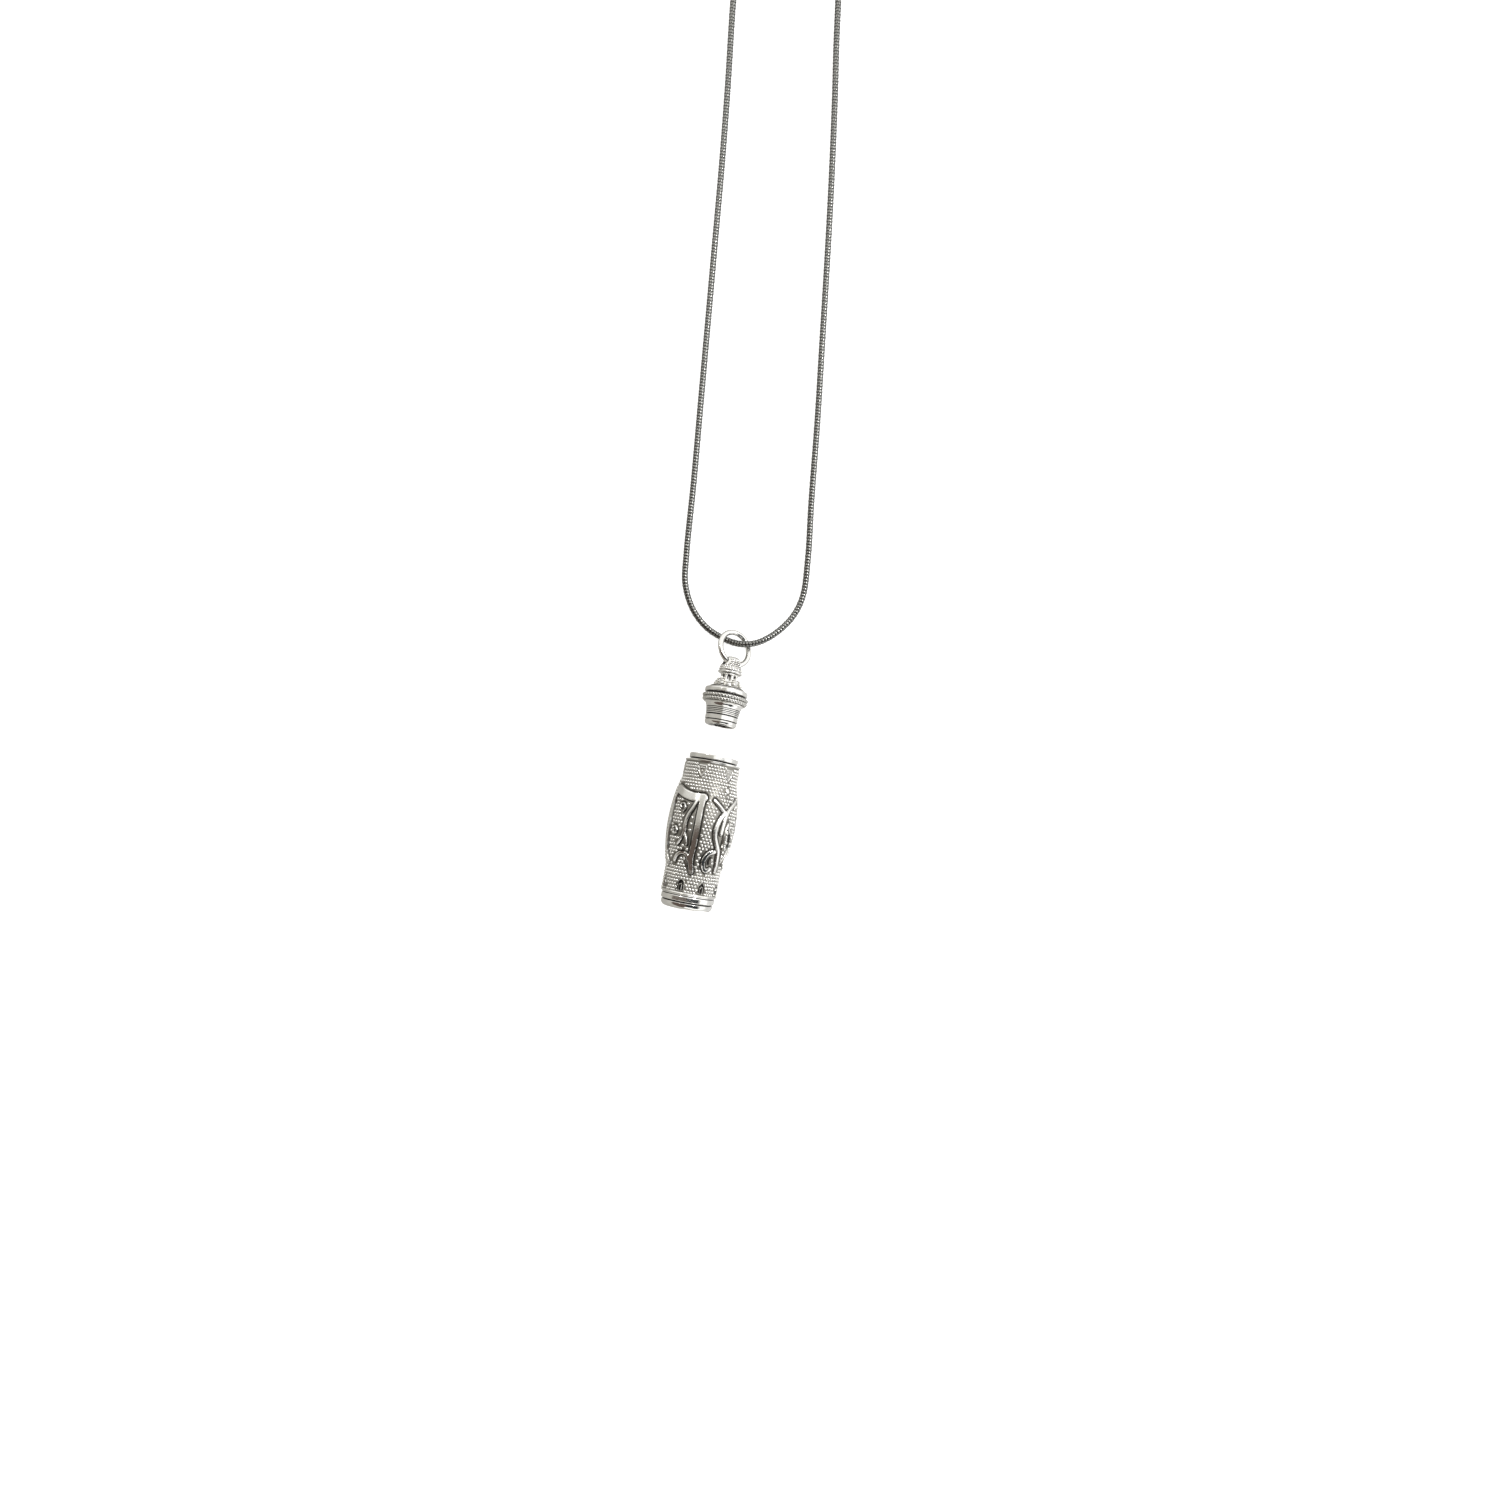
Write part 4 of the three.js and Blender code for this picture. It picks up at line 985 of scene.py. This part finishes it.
def bracket(i):
    """A stack of beads that leans on the neck's foot, with painted shade in the necks between the beads."""
    node = f"scroll_bracket_{i}"
    flat = np.array([v.co for v in frame["nodes"][node].data.vertices])
    middle = (PENDANT.inverted() @ Vector(flat.mean(0))) / MM
    low, high, _ = reach(node)
    half = (high - low) / (2 * len(BRACKET_BEADS))
    outline = [(0, 0), (0.2, 0)]
    for k, size in enumerate(BRACKET_BEADS):
        outline.append((0.5 * size, 2 * k * half, 1))
        outline += arc(0.45 * size, (2 * k + 1) * half, 0.55 * size, -70, 70, 5)
    outline.append((0, high - low))
    lean = Matrix.Identity(4)
    lean[0][1] = -BRACKET_LEAN * middle.x / BRACKET_PLACE
    lean[2][1] = -BRACKET_LEAN * middle.z / BRACKET_PLACE
    place = PENDANT @ Matrix.Translation(Vector((middle.x, low, middle.z)) * MM) @ lean
    lathe(f"bracket_beads_{i}", outline, 24, "cap", [node], SILVER, place=place)


plug_sleeve()
rope_ring()
cap_shoulder()
lantern()
finial_dome()
dome_granulation()
for number in range(1, BRACKETS + 1):
    bracket(number)


# ---- studio ---------------------------------------------------------------------------------------
# Lengths from here on are in metres.
FLOOR_HALF, FLOOR_LEVEL = 20, -0.0001


def floor():
    mesh = bpy.data.meshes.new("floor")
    signs = [(-1, -1), (1, -1), (1, 1), (-1, 1)]
    corners = [(x * FLOOR_HALF, y * FLOOR_HALF, FLOOR_LEVEL) for x, y in signs]
    mesh.from_pydata(corners, [], [(0, 1, 2, 3)])
    piece = bpy.data.objects.new("floor", mesh)
    bpy.context.scene.collection.objects.link(piece)
    material = bpy.data.materials.new("pale_floor")
    material.use_nodes = True
    shader = material.node_tree.nodes["Principled BSDF"]
    shader.inputs["Base Color"].default_value = (0.9, 0.9, 0.9, 1)
    shader.inputs["Roughness"].default_value = 0.9
    shader.inputs["Emission Color"].default_value = (1, 1, 1, 1)
    shader.inputs["Emission Strength"].default_value = 0.8
    mesh.materials.append(material)
    piece.visible_glossy = False


class Sky:
    """Short names for the nodes of the room, which work on the direction that is looked in."""

    def __init__(self):
        self.world = bpy.data.worlds.new("room")
        self.world.use_nodes = True
        self.tree = self.world.node_tree
        where = self.tree.nodes.new("ShaderNodeTexCoord").outputs["Generated"]
        turn = self.tree.nodes.new("ShaderNodeMapping")
        turn.inputs["Rotation"].default_value = (0, 0, -CAMERA_TURN)
        self.tree.links.new(where, turn.inputs["Vector"])
        split = self.tree.nodes.new("ShaderNodeSeparateXYZ")
        self.tree.links.new(turn.outputs["Vector"], split.inputs["Vector"])
        self.x, self.y, self.z = (split.outputs[k] for k in "XYZ")

    def step(self, value, start, end):
        """From 0 to 1 as the value goes from start to end, which may be the lower of the two."""
        node = self.tree.nodes.new("ShaderNodeMapRange")
        node.interpolation_type = "SMOOTHSTEP"
        node.inputs["From Min"].default_value = min(start, end)
        node.inputs["From Max"].default_value = max(start, end)
        node.inputs["To Min"].default_value = float(start > end)
        node.inputs["To Max"].default_value = float(start < end)
        self.tree.links.new(value, node.inputs["Value"])
        return node.outputs["Result"]

    def slanted(self, a, b, share):
        """a with a share of b added."""
        node = self.tree.nodes.new("ShaderNodeMath")
        node.operation = "MULTIPLY_ADD"
        self.tree.links.new(b, node.inputs[0])
        node.inputs[1].default_value = share
        self.tree.links.new(a, node.inputs[2])
        return node.outputs[0]

    def both(self, a, b):
        node = self.tree.nodes.new("ShaderNodeMath")
        node.operation = "MULTIPLY"
        self.tree.links.new(a, node.inputs[0])
        self.tree.links.new(b, node.inputs[1])
        return node.outputs[0]

    def mix(self, factor, a, b):
        node = self.tree.nodes.new("ShaderNodeMix")
        node.data_type = "RGBA"
        self.tree.links.new(factor, node.inputs[0])
        for socket, value in ((node.inputs[6], a), (node.inputs[7], b)):
            if isinstance(value, tuple):
                socket.default_value = (*value, 1)
            else:
                self.tree.links.new(value, socket)
        return node.outputs[2]


# The room's colours, which may be brighter than white.
LEFT_WALL, RIGHT_WALL, FAR_WALL = (0.52, 0.51, 0.47), (1.25, 1.25, 1.24), (1.1, 1.1, 1.08)
LEFT_BELOW, RIGHT_BELOW = (0.45, 0.44, 0.41), (0.75, 0.75, 0.74)
LEFT_COAT, RIGHT_COAT = (0.11, 0.085, 0.072), (0.026, 0.031, 0.033)
WINDOW = (1.6, 1.6, 1.6)


def surroundings():
    """A pale room with a dim, warm left wall and a bright right one. Whoever works at the table stands
    at its near side, leans over it and is dark, with a bright window low behind them."""
    sky = Sky()
    walls = sky.mix(sky.step(sky.x, -0.04, 0.14), LEFT_WALL, RIGHT_WALL)
    walls = sky.mix(sky.step(sky.y, 0.3, 0.7), walls, FAR_WALL)
    below = sky.mix(sky.step(sky.x, -0.1, 0.5), LEFT_BELOW, RIGHT_BELOW)
    walls = sky.mix(sky.step(sky.z, 0.05, -0.25), walls, below)
    coat = sky.mix(sky.step(sky.x, -0.06, 0.06), LEFT_COAT, RIGHT_COAT)
    near = sky.step(sky.slanted(sky.y, sky.x, 0.12), 0.1, 0.05)
    person = sky.both(near, sky.both(sky.step(sky.x, 0.88, 0.74), sky.step(sky.z, 0.34, 0.46)))
    room = sky.mix(person, walls, coat)
    window = sky.both(sky.step(sky.y, -0.62, -0.68), sky.step(sky.y, -0.9, -0.84))
    window = sky.both(window, sky.both(sky.step(sky.x, -0.24, -0.18), sky.step(sky.x, 0.36, 0.3)))
    room = sky.mix(window, room, WINDOW)
    back = sky.tree.nodes["Background"]
    sky.tree.links.new(room, back.inputs["Color"])
    bpy.context.scene.world = sky.world


def lamp(name, place, aim, size, power, tint=(1, 1, 1)):
    data = bpy.data.lights.new(name, "AREA")
    data.size = size
    data.energy = power
    data.color = tint
    light = bpy.data.objects.new(name, data)
    light.location = place
    light.rotation_euler = (Vector(aim) - Vector(place)).to_track_quat("-Z", "Y").to_euler()
    bpy.context.scene.collection.objects.link(light)


floor()
surroundings()
lamp("key", (0.3, 0.25, 0.45), (0, 0, 0), 0.1, 1.0)
lamp("fill", (-0.3, 0.25, 0.5), (0, 0, 0), 0.05, 0.25, (1, 0.98, 0.94))
bpy.context.scene.view_settings.view_transform = "Standard"
